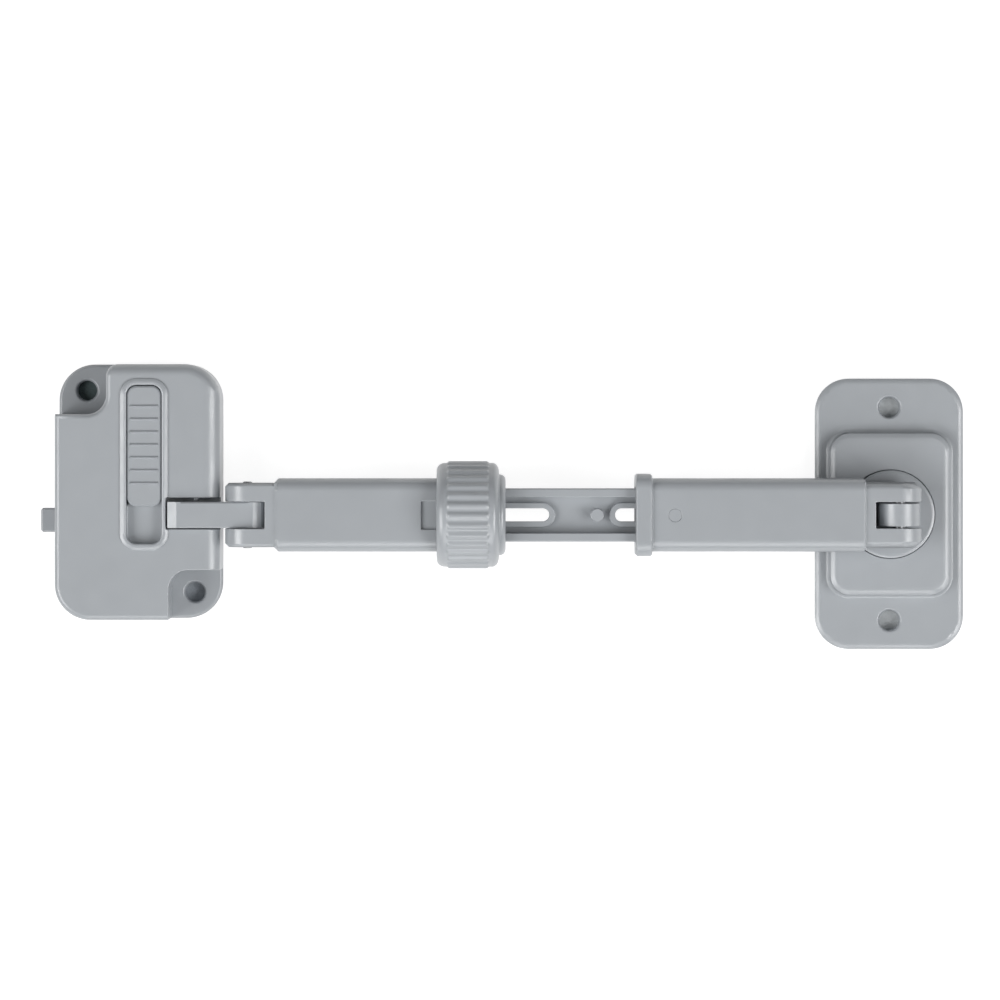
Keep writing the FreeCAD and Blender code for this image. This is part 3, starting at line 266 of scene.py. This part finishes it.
def ranged(made, source, low, high):
    """Spreads a noise's middle over a range."""
    spread = node(made, "ShaderNodeMapRange")
    spread.inputs["From Min"].default_value = NOISE_LOW
    spread.inputs["From Max"].default_value = NOISE_HIGH
    spread.inputs["To Min"].default_value = low
    spread.inputs["To Max"].default_value = high
    made.node_tree.links.new(source, spread.inputs["Value"])
    return spread.outputs["Result"]


def tinted(made, colour, amount, scale):
    """Slow change of shade over a piece, as its making leaves it."""
    links = made.node_tree.links
    shader = made.node_tree.nodes["Principled BSDF"]
    flow = object_noise(made, scale, TINT_DETAIL)
    ramp = node(made, "ShaderNodeValToRGB")
    darker = [c * (1 - amount) for c in colour[:3]] + [1.0]
    paler = [min(1.0, c * (1 + amount)) for c in colour[:3]] + [1.0]
    ramp.color_ramp.elements[0].position = NOISE_LOW
    ramp.color_ramp.elements[0].color = darker
    ramp.color_ramp.elements[1].position = NOISE_HIGH
    ramp.color_ramp.elements[1].color = paler
    links.new(flow.outputs["Fac"], ramp.inputs["Fac"])
    links.new(ramp.outputs["Color"], shader.inputs["Base Color"])


def roughened(made, low, high, scale):
    """Gloss that changes a little from place to place."""
    shader = made.node_tree.nodes["Principled BSDF"]
    cloud = object_noise(made, scale, GRAIN_DETAIL)
    made.node_tree.links.new(ranged(made, cloud.outputs["Fac"], low, high), shader.inputs["Roughness"])


def grained(made, scale, strength, depth, stretch):
    """Fine surface grain, its lines along an axis where it is stretched."""
    shader = made.node_tree.nodes["Principled BSDF"]
    grain = object_noise(made, scale, GRAIN_DETAIL, stretch)
    bump = node(made, "ShaderNodeBump", Strength=strength, Distance=depth)
    made.node_tree.links.new(grain.outputs["Fac"], bump.inputs["Height"])
    made.node_tree.links.new(bump.outputs["Normal"], shader.inputs["Normal"])


def finished(name, finish, stretch=EVEN):
    """A material of one of the finishes, with its tint, uneven gloss and grain."""
    made = material(name, finish["shader"])
    tinted(made, finish["shader"]["Base Color"], *finish["tint"])
    roughened(made, *finish["gloss"])
    grained(made, *finish["grain"], stretch)
    return made


def paint_hole_shade(made, place, colour):
    """Paints shade on the top of a pad at the bottom of one hole, by multiplying its colour with a darker
    one.
    """
    links = made.node_tree.links
    shader = made.node_tree.nodes["Principled BSDF"]
    coordinates = node(made, "ShaderNodeTexCoord")
    spread = node(made, "ShaderNodeMapping")
    spread.inputs["Scale"].default_value = [1 / reach for reach in HOLE_REACH]
    spread.inputs["Location"].default_value = [-length / reach for length, reach in zip(place, HOLE_REACH)]
    ball = node(made, "ShaderNodeTexGradient")
    ball.gradient_type = "SPHERICAL"
    ramp = node(made, "ShaderNodeValToRGB")
    ramp.color_ramp.elements[0].color = WHITE
    ramp.color_ramp.elements[1].position = HOLE_SPREAD
    ramp.color_ramp.elements[1].color = colour
    mixed = node(made, "ShaderNodeMixRGB", Fac=1.0)
    mixed.blend_type = "MULTIPLY"
    links.new(coordinates.outputs["Object"], spread.inputs["Vector"])
    links.new(spread.outputs["Vector"], ball.inputs["Vector"])
    links.new(ball.outputs["Fac"], ramp.inputs["Fac"])
    links.new(shader.inputs["Base Color"].links[0].from_socket, mixed.inputs["Color1"])
    links.new(ramp.outputs["Color"], mixed.inputs["Color2"])
    links.new(mixed.outputs["Color"], shader.inputs["Base Color"])


def welded(source):
    """A copy of a piece's mesh with its loose triangles joined and its flats made whole."""
    mesh = bmesh.new()
    mesh.from_mesh(source.data)
    bmesh.ops.remove_doubles(mesh, verts=mesh.verts, dist=WELD)
    bmesh.ops.dissolve_limit(mesh, angle_limit=FLAT_ANGLE, verts=mesh.verts, edges=mesh.edges,
                             delimit={"NORMAL"})
    return mesh


def weigh_edges(mesh, width):
    """Gives each square edge the share of the width that its faces have room for."""
    layer = mesh.edges.layers.float.new("bevel_weight_edge")
    for edge in mesh.edges:
        if len(edge.link_faces) != 2 or edge.calc_length() < WELD or edge.calc_face_angle(0.0) < SQUARE_ANGLE:
            continue
        room = min(face.calc_area() for face in edge.link_faces) / edge.calc_length()
        edge[layer] = min(1.0, EDGE_SHARE * room / width)


def flats_at(mesh, level):
    """The faces that look straight up at a level."""
    return [face for face in mesh.faces
            if face.normal.z > FLAT_COSINE and abs(face.calc_center_bounds().z - level) < WELD]


def cut_along(mesh, faces, place, across):
    """Cuts some faces along a plane through a place."""
    edges = {edge for face in faces for edge in face.edges}
    corners = {corner for face in faces for corner in face.verts}
    bmesh.ops.bisect_plane(mesh, geom=faces + list(edges) + list(corners), dist=WELD,
                           plane_co=place, plane_no=across)


def crowned(mesh):
    """Lets the lock cover's top fall away towards its right side, ever steeper."""
    for cut in range(CROWN_CUTS):
        line = CROWN_START + CROWN_WIDTH * cut / CROWN_CUTS
        cut_along(mesh, flats_at(mesh, CROWN_LEVEL), (line, 0, 0), (1, 0, 0))
    for corner in mesh.verts:
        share = (corner.co.x - CROWN_START) / CROWN_WIDTH
        if share > 0 and corner.co.z < CROWN_LEVEL + WELD:
            corner.co.z = min(corner.co.z, CROWN_LEVEL - CROWN_DROP * share ** CROWN_POWER)


def border_depth(place, half_x, half_y, corner_r):
    """How far inside a rounded rectangle's outline a place is."""
    x = abs(place.x) - half_x + corner_r
    y = abs(place.y) - half_y + corner_r
    return corner_r - math.hypot(max(x, 0.0), max(y, 0.0)) - min(max(x, y), 0.0)


def rounded_border(mesh, level, chamfer, half_x, half_y, corner_r, inset, fall):
    """Turns the chamfer round a raised flat into a full round that reaches into the flat."""
    low = level - chamfer
    bmesh.ops.inset_region(mesh, faces=flats_at(mesh, level), thickness=inset, use_even_offset=True,
                           use_boundary=True)
    across = []
    for edge in mesh.edges:
        lower, upper = sorted(corner.co.z for corner in edge.verts)
        if abs(lower - low) < WELD and abs(upper - level) < WELD:
            across.append(edge)
    bmesh.ops.subdivide_edges(mesh, edges=across, cuts=BORDER_CUTS, use_grid_fill=True)
    reach = chamfer + inset
    for corner in mesh.verts:
        depth = border_depth(corner.co, half_x, half_y, corner_r)
        if low - WELD < corner.co.z < level + WELD and -BORDER_SLACK < depth < reach:
            corner.co.z = level - fall * (1 - max(depth, 0.0) / reach) ** BORDER_POWER


def rounded_borders(mesh):
    """Rounds the border of the base plate and of its pedestal."""
    for border in BORDERS:
        rounded_border(mesh, *[length * MM for length in border])


def softened_rim(mesh):
    """Rounds the raised rim round the slider's track."""
    rim = flats_at(mesh, RIM_TOP_Z)
    bmesh.ops.inset_region(mesh, faces=rim, thickness=RIM_SHOULDER, use_even_offset=True, use_boundary=True)
    inner = {corner for face in rim for corner in face.verts}
    for corner in mesh.verts:
        if corner not in inner and abs(corner.co.z - RIM_TOP_Z) < WELD:
            corner.co.z -= RIM_FALL


def steeper_ridges(mesh):
    """Draws the grip's low ridges together into narrow steep ones."""
    for corner in mesh.verts:
        x, y, z = corner.co
        if abs(x - GRIP_X) > GRIP_HALF or z < GRIP_LOW_Z:
            continue
        ridge = round((y - GRIP_FIRST_Y) / GRIP_PITCH)
        crest = GRIP_FIRST_Y + ridge * GRIP_PITCH
        if not 0 <= ridge < GRIP_COUNT:
            continue
        if z > GRIP_LOW_Z + GRIP_STEP:
            corner.co.y = crest - GRIP_SHIFT
        elif abs(y - crest) < GRIP_REACH:
            corner.co.y = crest - GRIP_SHIFT + math.copysign(GRIP_FOOT, y - crest)


def sloped_ends(mesh):
    """Gives the link arm's round ends a flat slope on top, and brings the one in the fork up to its slot."""
    for middle, side, start, end, greatest in ARM_ENDS:
        for turn in ARM_TURNS:
            faces = [face for face in mesh.faces if abs(face.normal.y) < ARM_SIDE_COSINE
                     and side * (face.calc_center_bounds().x - middle) > 0
                     and face.calc_center_bounds().z > ROD_Z]
            cut_along(mesh, faces, (middle, 0, ROD_Z), (math.cos(turn), 0, -side * math.sin(turn)))
        for corner in mesh.verts:
            along, up = side * (corner.co.x - middle), corner.co.z - ROD_Z
            radius = math.hypot(along, up)
            if along < WELD or radius < ARM_CORE_R or up < -ARM_R - WELD:
                continue
            if up > 0:
                slope = (ARM_R + ARM_SLOPE * start) / (up + ARM_SLOPE * along)
                scale = min(ARM_R / up, slope, end / along, greatest / radius)
                corner.co.z = ROD_Z + up * scale
            else:
                scale = end / ARM_R
            corner.co.x = middle + side * along * scale


def wider_disc_edge(mesh):
    """Widens the soft edge of the turret's disc and closes up to its seat."""
    for corner in mesh.verts:
        aside = corner.co.xy
        if aside.length > DISC_EDGE_R and corner.co.z > DISC_LOW_Z:
            edge = DISC_FLAT_R if corner.co.z > DISC_SHOULDER_Z else DISC_OUT_R
            corner.co.xy = aside.normalized() * edge


RESHAPES = {
    "base_plate": (rounded_borders,), "turret": (wider_disc_edge,), "link_arm": (sloped_ends,),
    "lock_cover": (crowned, softened_rim), "thumb_slider": (steeper_ridges,),
}


def crisp_ridges(mesh):
    """Keeps the low ridges and slopes of a piece sharp in the light."""
    for edge in mesh.edges:
        if len(edge.link_faces) == 2 and RIDGE_ANGLE < edge.calc_face_angle(0.0) < SQUARE_ANGLE:
            edge.smooth = False


def rounded_piece(node_name, width, made):
    """A moulded piece over its plain solid, every square edge rounded as the tool leaves it."""
    mesh = welded(frame["nodes"][node_name])
    for reshape in RESHAPES.get(node_name, ()):
        reshape(mesh)
    weigh_edges(mesh, width)
    if node_name in CRISP:
        crisp_ridges(mesh)
    data = bpy.data.meshes.new(node_name + "_moulding")
    for face in mesh.faces:
        face.smooth = True
    mesh.to_mesh(data)
    mesh.free()
    piece = bpy.data.objects.new(node_name + "_moulding", data)
    bpy.context.scene.collection.objects.link(piece)
    bevel = piece.modifiers.new("edges", "BEVEL")
    bevel.limit_method = "WEIGHT"
    bevel.width = width
    bevel.segments = EDGE_STEPS
    bevel.use_clamp_overlap = False
    bevel.loop_slide = False
    bevel.miter_outer = "MITER_PATCH"
    plain(piece)
    even_flats(piece.data)
    finish(piece, made)
    stand_in(piece, node_name)
    return piece


def split_pierced(mesh):
    """Cuts the flats that holes go through into triangles."""
    pierced = {face for edge in mesh.edges
               if len(edge.link_faces) == 2 and edge.calc_face_angle(0.0) < FLAT_ANGLE
               for face in edge.link_faces if len(face.verts) > 4}
    bmesh.ops.triangulate(mesh, faces=list(pierced), ngon_method="BEAUTY")


def flat_areas(mesh):
    """Each face's flat, named after one of its faces, and each flat's area."""
    flat_of, areas = {}, {}
    for seed in mesh.faces:
        if seed in flat_of:
            continue
        flat_of[seed] = seed
        flat = [seed]
        for face in flat:
            for edge in face.edges:
                for other in edge.link_faces:
                    if other not in flat_of and other.normal.dot(seed.normal) > FLAT_COSINE:
                        flat_of[other] = seed
                        flat.append(other)
        areas[seed] = sum(face.calc_area() for face in flat) / (MM * MM)
    return flat_of, areas


def fans(corner):
    """Groups of faces round a corner that no sharp edge parts."""
    loops = {loop.face: loop for loop in corner.link_loops}
    left = dict(loops)
    while left:
        first = next(iter(left))
        fan = [(first, left.pop(first))]
        for face, loop in fan:
            for edge in (loop.edge, loop.link_loop_prev.edge):
                for other in edge.link_faces:
                    if other in left and edge.smooth and edge.calc_face_angle(0.0) < HARD_ANGLE:
                        fan.append((other, left.pop(other)))
        yield fan


def even_flats(data):
    """Shades wide flats flat and lets the narrow faces beside them turn."""
    mesh = bmesh.new()
    mesh.from_mesh(data)
    split_pierced(mesh)
    flat_of, areas = flat_areas(mesh)
    normals = {}
    for corner in mesh.verts:
        for fan in fans(corner):
            flats = {flat_of[face]: face for face, loop in fan}
            lean = Vector()
            for flat, face in flats.items():
                lean += face.normal * areas[flat] ** FLAT_POWER
            for face, loop in fan:
                normals[loop] = lean.normalized()
    ordered = [normals[loop] for face in mesh.faces for loop in face.loops]
    mesh.to_mesh(data)
    mesh.free()
    data.polygons.foreach_set("use_smooth", [True] * len(data.polygons))
    data.normals_split_custom_set(ordered)


def plain(piece):
    """Turns a piece's modifiers into its mesh."""
    bpy.context.view_layer.update()
    graph = bpy.context.evaluated_depsgraph_get()
    evaluated = piece.evaluated_get(graph)
    made = bpy.data.meshes.new_from_object(evaluated)
    old = piece.data
    piece.modifiers.clear()
    piece.data = made
    bpy.data.meshes.remove(old)


def finish(piece, made):
    """One smooth-shaded material on a piece."""
    piece.data.materials.clear()
    piece.data.materials.append(made)
    piece.data.polygons.foreach_set("use_smooth", [True] * len(piece.data.polygons))


def stand_in(piece, node_name):
    """The piece rides with its solid's body and takes its place."""
    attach(piece, frame["nodes"][node_name]["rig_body"])
    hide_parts(node_name)


def coated(node_name, made):
    """A solid that keeps its own shape gets its finish."""
    materials = frame["nodes"][node_name].data.materials
    for index in range(len(materials)):
        materials[index] = made


def collar_section(length):
    """Points (x, radius) round the collar's wall, from the back of its bore over the outside."""
    front = length - COLLAR_NOSE_LEN
    quarter = [math.radians(90) * cut / ROUND_STEPS for cut in range(ROUND_STEPS + 1)]
    back = COLLAR_LAND_R + COLLAR_EDGE
    points = [(COLLAR_EDGE, COLLAR_BORE_R), (COLLAR_CHORD, COLLAR_BORE_R + COLLAR_CHORD)]
    points += [(COLLAR_BACK_ROUND * (1 - math.cos(turn)), back + (COLLAR_CORE_R - back) * math.sin(turn))
               for turn in quarter]
    ends = [RIB_END * cut / RIB_END_STEPS for cut in range(RIB_END_STEPS + 1)]
    points += [(RIB_BACK + end, COLLAR_CORE_R) for end in ends]
    points += [(front - RIB_FRONT - end, COLLAR_CORE_R) for end in reversed(ends)]
    points += [(front - COLLAR_FRONT_ROUND * (1 - math.sin(turn)),
                COLLAR_FRONT_R + (COLLAR_CORE_R - COLLAR_FRONT_R) * math.cos(turn)) for turn in quarter]
    points += [(front, COLLAR_NOSE_R + COLLAR_NOSE_FOOT), (front + COLLAR_NOSE_FOOT, COLLAR_NOSE_R)]
    low, land = COLLAR_NOSE_BORE_R + COLLAR_EDGE, front + COLLAR_NOSE_LAND
    points += [(land + (length - land) * math.sin(turn), low + (COLLAR_NOSE_R - low) * math.cos(turn))
               for turn in quarter]
    points += [(length - COLLAR_CHORD, COLLAR_NOSE_BORE_R + COLLAR_CHORD),
               (length - COLLAR_EDGE, COLLAR_NOSE_BORE_R),
               (length - COLLAR_NOSE_WALL, COLLAR_NOSE_BORE_R), (length - COLLAR_NOSE_WALL, COLLAR_BORE_R)]
    return points


def eased(share):
    """Smooth step from 0 to 1."""
    share = min(1.0, max(0.0, share))
    return share * share * (3 - 2 * share)


def rib_height(x, aside, length):
    """How far a knurl rib stands off the core at a place beside its middle line."""
    front = length - COLLAR_NOSE_LEN - RIB_FRONT
    flank = eased((RIB_FOOT - abs(aside)) / (RIB_FOOT - RIB_TOP))
    ends = eased((x - RIB_BACK) / RIB_END) * eased((front - x) / RIB_END)
    return RIB_RISE * flank * ends


def collar_sector(length):
    """The collar's share round one rib: a closed section swept over one pitch."""
    section = collar_section(length)
    half = math.pi / RIB_COUNT
    asides = [RIB_STEP * cut for cut in range(-RIB_STEPS, RIB_STEPS + 1)]
    turns = [-half] + [aside / COLLAR_CORE_R for aside in asides] + [half]
    corners = []
    for turn in turns:
        for x, radius in section:
            r = radius + (rib_height(x, turn * COLLAR_CORE_R, length) if radius > COLLAR_NOSE_R else 0.0)
            corners.append((x, r * math.sin(turn), r * math.cos(turn)))
    rows = len(section)
    faces = [(column * rows + row, column * rows + (row + 1) % rows,
              (column + 1) * rows + (row + 1) % rows, (column + 1) * rows + row)
             for column in range(len(turns) - 1) for row in range(rows)]
    data = bpy.data.meshes.new("collar_sector")
    data.from_pydata(corners, [], faces)
    return data


def new_tree(name, *inputs):
    """Geometry tree with its geometry sockets and named inputs."""
    tree = bpy.data.node_groups.new(name, "GeometryNodeTree")
    tree.interface.new_socket("Geometry", in_out="INPUT", socket_type="NodeSocketGeometry")
    for label, kind in inputs:
        tree.interface.new_socket(label, in_out="INPUT", socket_type=kind)
    tree.interface.new_socket("Geometry", in_out="OUTPUT", socket_type="NodeSocketGeometry")
    return tree, tree.nodes.new("NodeGroupInput").outputs, tree.nodes.new("NodeGroupOutput").inputs


def step(tree, kind, links=(), **settings):
    """Adds a geometry node, with what feeds its inputs by name or number."""
    added = tree.nodes.new(kind)
    for name, value in settings.items():
        setattr(added, name, value)
    for socket, source in links:
        if isinstance(source, bpy.types.NodeSocket):
            tree.links.new(source, added.inputs[socket])
        else:
            added.inputs[socket].default_value = source
    return added


def grown(name, data, tree, values):
    """A piece made by a geometry tree from named values, as a plain mesh."""
    piece = bpy.data.objects.new(name, data)
    bpy.context.scene.collection.objects.link(piece)
    growth = piece.modifiers.new("growth", "NODES")
    growth.node_group = tree
    for socket in tree.interface.items_tree:
        if socket.in_out == "INPUT" and socket.name in values:
            growth[socket.identifier] = values[socket.name]
    return piece


def ring_tree():
    """Repeats a sector round the rod's axis and joins the copies into one wall."""
    tree, given, out = new_tree("collar_knurl", ("Ribs", "NodeSocketInt"), ("Centre", "NodeSocketVector"),
                                ("Weld", "NodeSocketFloat"), ("Finish", "NodeSocketMaterial"))
    points = step(tree, "GeometryNodePoints", [("Count", given["Ribs"]), ("Position", given["Centre"])])
    pitch = step(tree, "ShaderNodeMath", [(0, math.tau), (1, given["Ribs"])], operation="DIVIDE")
    index = step(tree, "GeometryNodeInputIndex")
    turn = step(tree, "ShaderNodeMath", [(0, index.outputs[0]), (1, pitch.outputs[0])], operation="MULTIPLY")
    about = step(tree, "ShaderNodeCombineXYZ", [("X", turn.outputs[0])])
    copies = step(tree, "GeometryNodeInstanceOnPoints", [
        ("Points", points.outputs[0]), ("Instance", given["Geometry"]), ("Rotation", about.outputs[0])])
    real = step(tree, "GeometryNodeRealizeInstances", [("Geometry", copies.outputs[0])])
    joined = step(tree, "GeometryNodeMergeByDistance", [("Geometry", real.outputs[0]),
                                                        ("Distance", given["Weld"])])
    coat = step(tree, "GeometryNodeSetMaterial", [("Geometry", joined.outputs[0]),
                                                  ("Material", given["Finish"])])
    tree.links.new(coat.outputs[0], out["Geometry"])
    return tree


def knurled_collar(made):
    """The clamp collar: one rib's sector repeated round the rod."""
    low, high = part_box("clamp_collar")
    tree = ring_tree()
    piece = grown("clamp_collar_moulding", collar_sector(high[0] - low[0]), tree, {
        "Ribs": RIB_COUNT, "Centre": (low[0], 0.0, (low[2] + high[2]) / 2), "Weld": SECTOR_WELD,
        "Finish": made})
    plain(piece)
    finish(piece, made)
    stand_in(piece, "clamp_collar")


def coil_tree():
    """Compression spring of round wire, its pitch closing up at both ends."""
    tree, given, out = new_tree("coil", ("Length", "NodeSocketFloat"), ("Radius", "NodeSocketFloat"),
                                ("Wire", "NodeSocketFloat"), ("Turns", "NodeSocketFloat"),
                                ("Start", "NodeSocketVector"), ("Turn", "NodeSocketVector"),
                                ("Finish", "NodeSocketMaterial"))
    spiral = step(tree, "GeometryNodeCurveSpiral", [
        ("Resolution", TURN_STEPS), ("Rotations", given["Turns"]), ("Start Radius", given["Radius"]),
        ("End Radius", given["Radius"]), ("Height", given["Length"])])
    along = step(tree, "GeometryNodeSplineParameter")
    pitch = step(tree, "ShaderNodeFloatCurve", [("Value", along.outputs["Factor"])])
    curve = pitch.mapping.curves[0]
    curve.points[0].location = (0.0, 0.0)
    curve.points[1].location = (1.0, 1.0)
    for along_wire, height in PITCH_POINTS:
        curve.points.new(along_wire, height)
    height = step(tree, "ShaderNodeMath", [(0, pitch.outputs[0]), (1, given["Length"])], operation="MULTIPLY")
    place = step(tree, "GeometryNodeInputPosition")
    parts = step(tree, "ShaderNodeSeparateXYZ", [("Vector", place.outputs[0])])
    lifted = step(tree, "ShaderNodeCombineXYZ", [("X", parts.outputs["X"]), ("Y", parts.outputs["Y"]),
                                                 ("Z", height.outputs[0])])
    paced = step(tree, "GeometryNodeSetPosition", [("Geometry", spiral.outputs[0]),
                                                   ("Position", lifted.outputs[0])])
    round_wire = step(tree, "GeometryNodeCurvePrimitiveCircle", [("Resolution", WIRE_SIDES),
                                                                 ("Radius", given["Wire"])])
    drawn = step(tree, "GeometryNodeCurveToMesh", [("Curve", paced.outputs[0]),
                                                   ("Profile Curve", round_wire.outputs[0]),
                                                   ("Fill Caps", True)])
    placed = step(tree, "GeometryNodeTransform", [("Geometry", drawn.outputs[0]),
                                                  ("Translation", given["Start"]),
                                                  ("Rotation", given["Turn"])])
    real = step(tree, "GeometryNodeRealizeInstances", [("Geometry", placed.outputs[0])])
    coat = step(tree, "GeometryNodeSetMaterial", [("Geometry", real.outputs[0]),
                                                  ("Material", given["Finish"])])
    tree.links.new(coat.outputs[0], out["Geometry"])
    return tree


def spring(node_name, tree, turns, axis, made):
    """A coil spring in the place of its plain solid."""
    low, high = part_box(node_name)
    middle = [(a + b) / 2 for a, b in zip(low, high)]
    across = max(high[i] - low[i] for i in range(3) if i != axis)
    start = list(middle)
    start[axis] = low[axis] + WIRE_R
    turn = (0.0, math.radians(90), 0.0) if axis == 0 else (math.radians(-90), 0.0, 0.0)
    piece = grown(node_name + "_wire", bpy.data.meshes.new(node_name), tree, {
        "Length": high[axis] - low[axis] - 2 * WIRE_R, "Radius": across / 2 - WIRE_R, "Wire": WIRE_R,
        "Turns": float(turns), "Start": start, "Turn": turn, "Finish": made})
    plain(piece)
    finish(piece, made)
    stand_in(piece, node_name)


def camera():
    """Camera square to the wall."""
    data = bpy.data.cameras.new("camera")
    data.sensor_width = CAMERA_SENSOR
    data.lens = CAMERA_LENS
    data.clip_start = CAMERA_NEAR
    data.clip_end = CAMERA_FAR
    data.shift_y = -CAMERA_LIFT * CAMERA_LENS / (CAMERA_SENSOR * (CAMERA_Z - ROD_Z))
    made = bpy.data.objects.new("camera", data)
    made.location = (CAMERA_X, CAMERA_Y + CAMERA_LIFT, CAMERA_Z)
    bpy.context.scene.collection.objects.link(made)
    bpy.context.scene.camera = made


def softbox(name, place, across, upright, watts):
    """Soft light that looks at the middle of the object."""
    data = bpy.data.lights.new(name, "AREA")
    data.shape = "RECTANGLE"
    data.size = across
    data.size_y = upright
    data.energy = watts
    lamp = bpy.data.objects.new(name, data)
    lamp.location = place
    lamp.rotation_euler = (Vector(LIT_PLACE) - Vector(place)).to_track_quat("-Z", "Y").to_euler()
    bpy.context.scene.collection.objects.link(lamp)


def floor():
    """White table that reads as white in the picture and keeps a soft shadow."""
    data = bpy.data.meshes.new("floor")
    corners = [(x * FLOOR_HALF, y * FLOOR_HALF, 0) for x, y in ((-1, -1), (1, -1), (1, 1), (-1, 1))]
    data.from_pydata(corners, [], [(0, 1, 2, 3)])
    piece = bpy.data.objects.new("floor", data)
    bpy.context.scene.collection.objects.link(piece)
    made = material("floor_white", FLOOR_SHADER)
    tree = made.node_tree
    shader = tree.nodes["Principled BSDF"]
    path = tree.nodes.new("ShaderNodeLightPath")
    seen = tree.nodes.new("ShaderNodeMath")
    seen.operation = "MAXIMUM"
    tree.links.new(path.outputs["Is Camera Ray"], seen.inputs[0])
    tree.links.new(path.outputs["Is Glossy Ray"], seen.inputs[1])
    glow = tree.nodes.new("ShaderNodeEmission")
    glow.inputs["Color"].default_value = WHITE
    lift = tree.nodes.new("ShaderNodeMath")
    lift.operation = "MULTIPLY"
    lift.inputs[1].default_value = FLOOR_GLOW
    tree.links.new(seen.outputs[0], lift.inputs[0])
    tree.links.new(lift.outputs[0], glow.inputs["Strength"])
    both = tree.nodes.new("ShaderNodeAddShader")
    tree.links.new(shader.outputs["BSDF"], both.inputs[0])
    tree.links.new(glow.outputs["Emission"], both.inputs[1])
    tree.links.new(both.outputs["Shader"], tree.nodes["Material Output"].inputs["Surface"])
    data.materials.append(made)


def studio():
    """Soft light, mostly from both sides, a little stronger from below than from above."""
    world = bpy.data.worlds.new("studio")
    world.use_nodes = True
    back = world.node_tree.nodes["Background"]
    back.inputs["Color"].default_value = WHITE
    back.inputs["Strength"].default_value = WORLD_STRENGTH
    bpy.context.scene.world = world
    for name, lamp in LAMPS.items():
        softbox(name, *lamp)


plastic = finished("moulded_grey", PLASTIC)
foam = finished("pad_foam", FOAM)
# The lock pad's foam carries painted shade at the bottom of its two screw holes
painted_shade_foam = finished("pad_foam_painted_shade", FOAM)
for place, shade in PAINTED_HOLE_SHADES:
    paint_hole_shade(painted_shade_foam, place, shade)
pin_metal = finished("pin_steel", PIN_STEEL, DRAWN_ALONG_Y)
wire = finished("spring_steel", SPRING_STEEL, DRAWN_ALONG_Z)

camera()
floor()
studio()
for node_name, width in MOULDED_EDGES.items():
    rounded_piece(node_name, width, plastic)
rounded_piece("base_pad", PAD_EDGE, foam)
rounded_piece("lock_pad", PAD_EDGE, painted_shade_foam)
for node_name, width in STEEL_EDGES.items():
    rounded_piece(node_name, width, pin_metal)
knurled_collar(plastic)
springs = coil_tree()
for node_name, (turns, axis) in SPRINGS.items():
    spring(node_name, springs, turns, axis, wire)
coated("cover_screws", pin_metal)
for node_name in ("catch_clip", "detent_leaf"):
    coated(node_name, wire)

bpy.context.scene.view_settings.view_transform = "Standard"
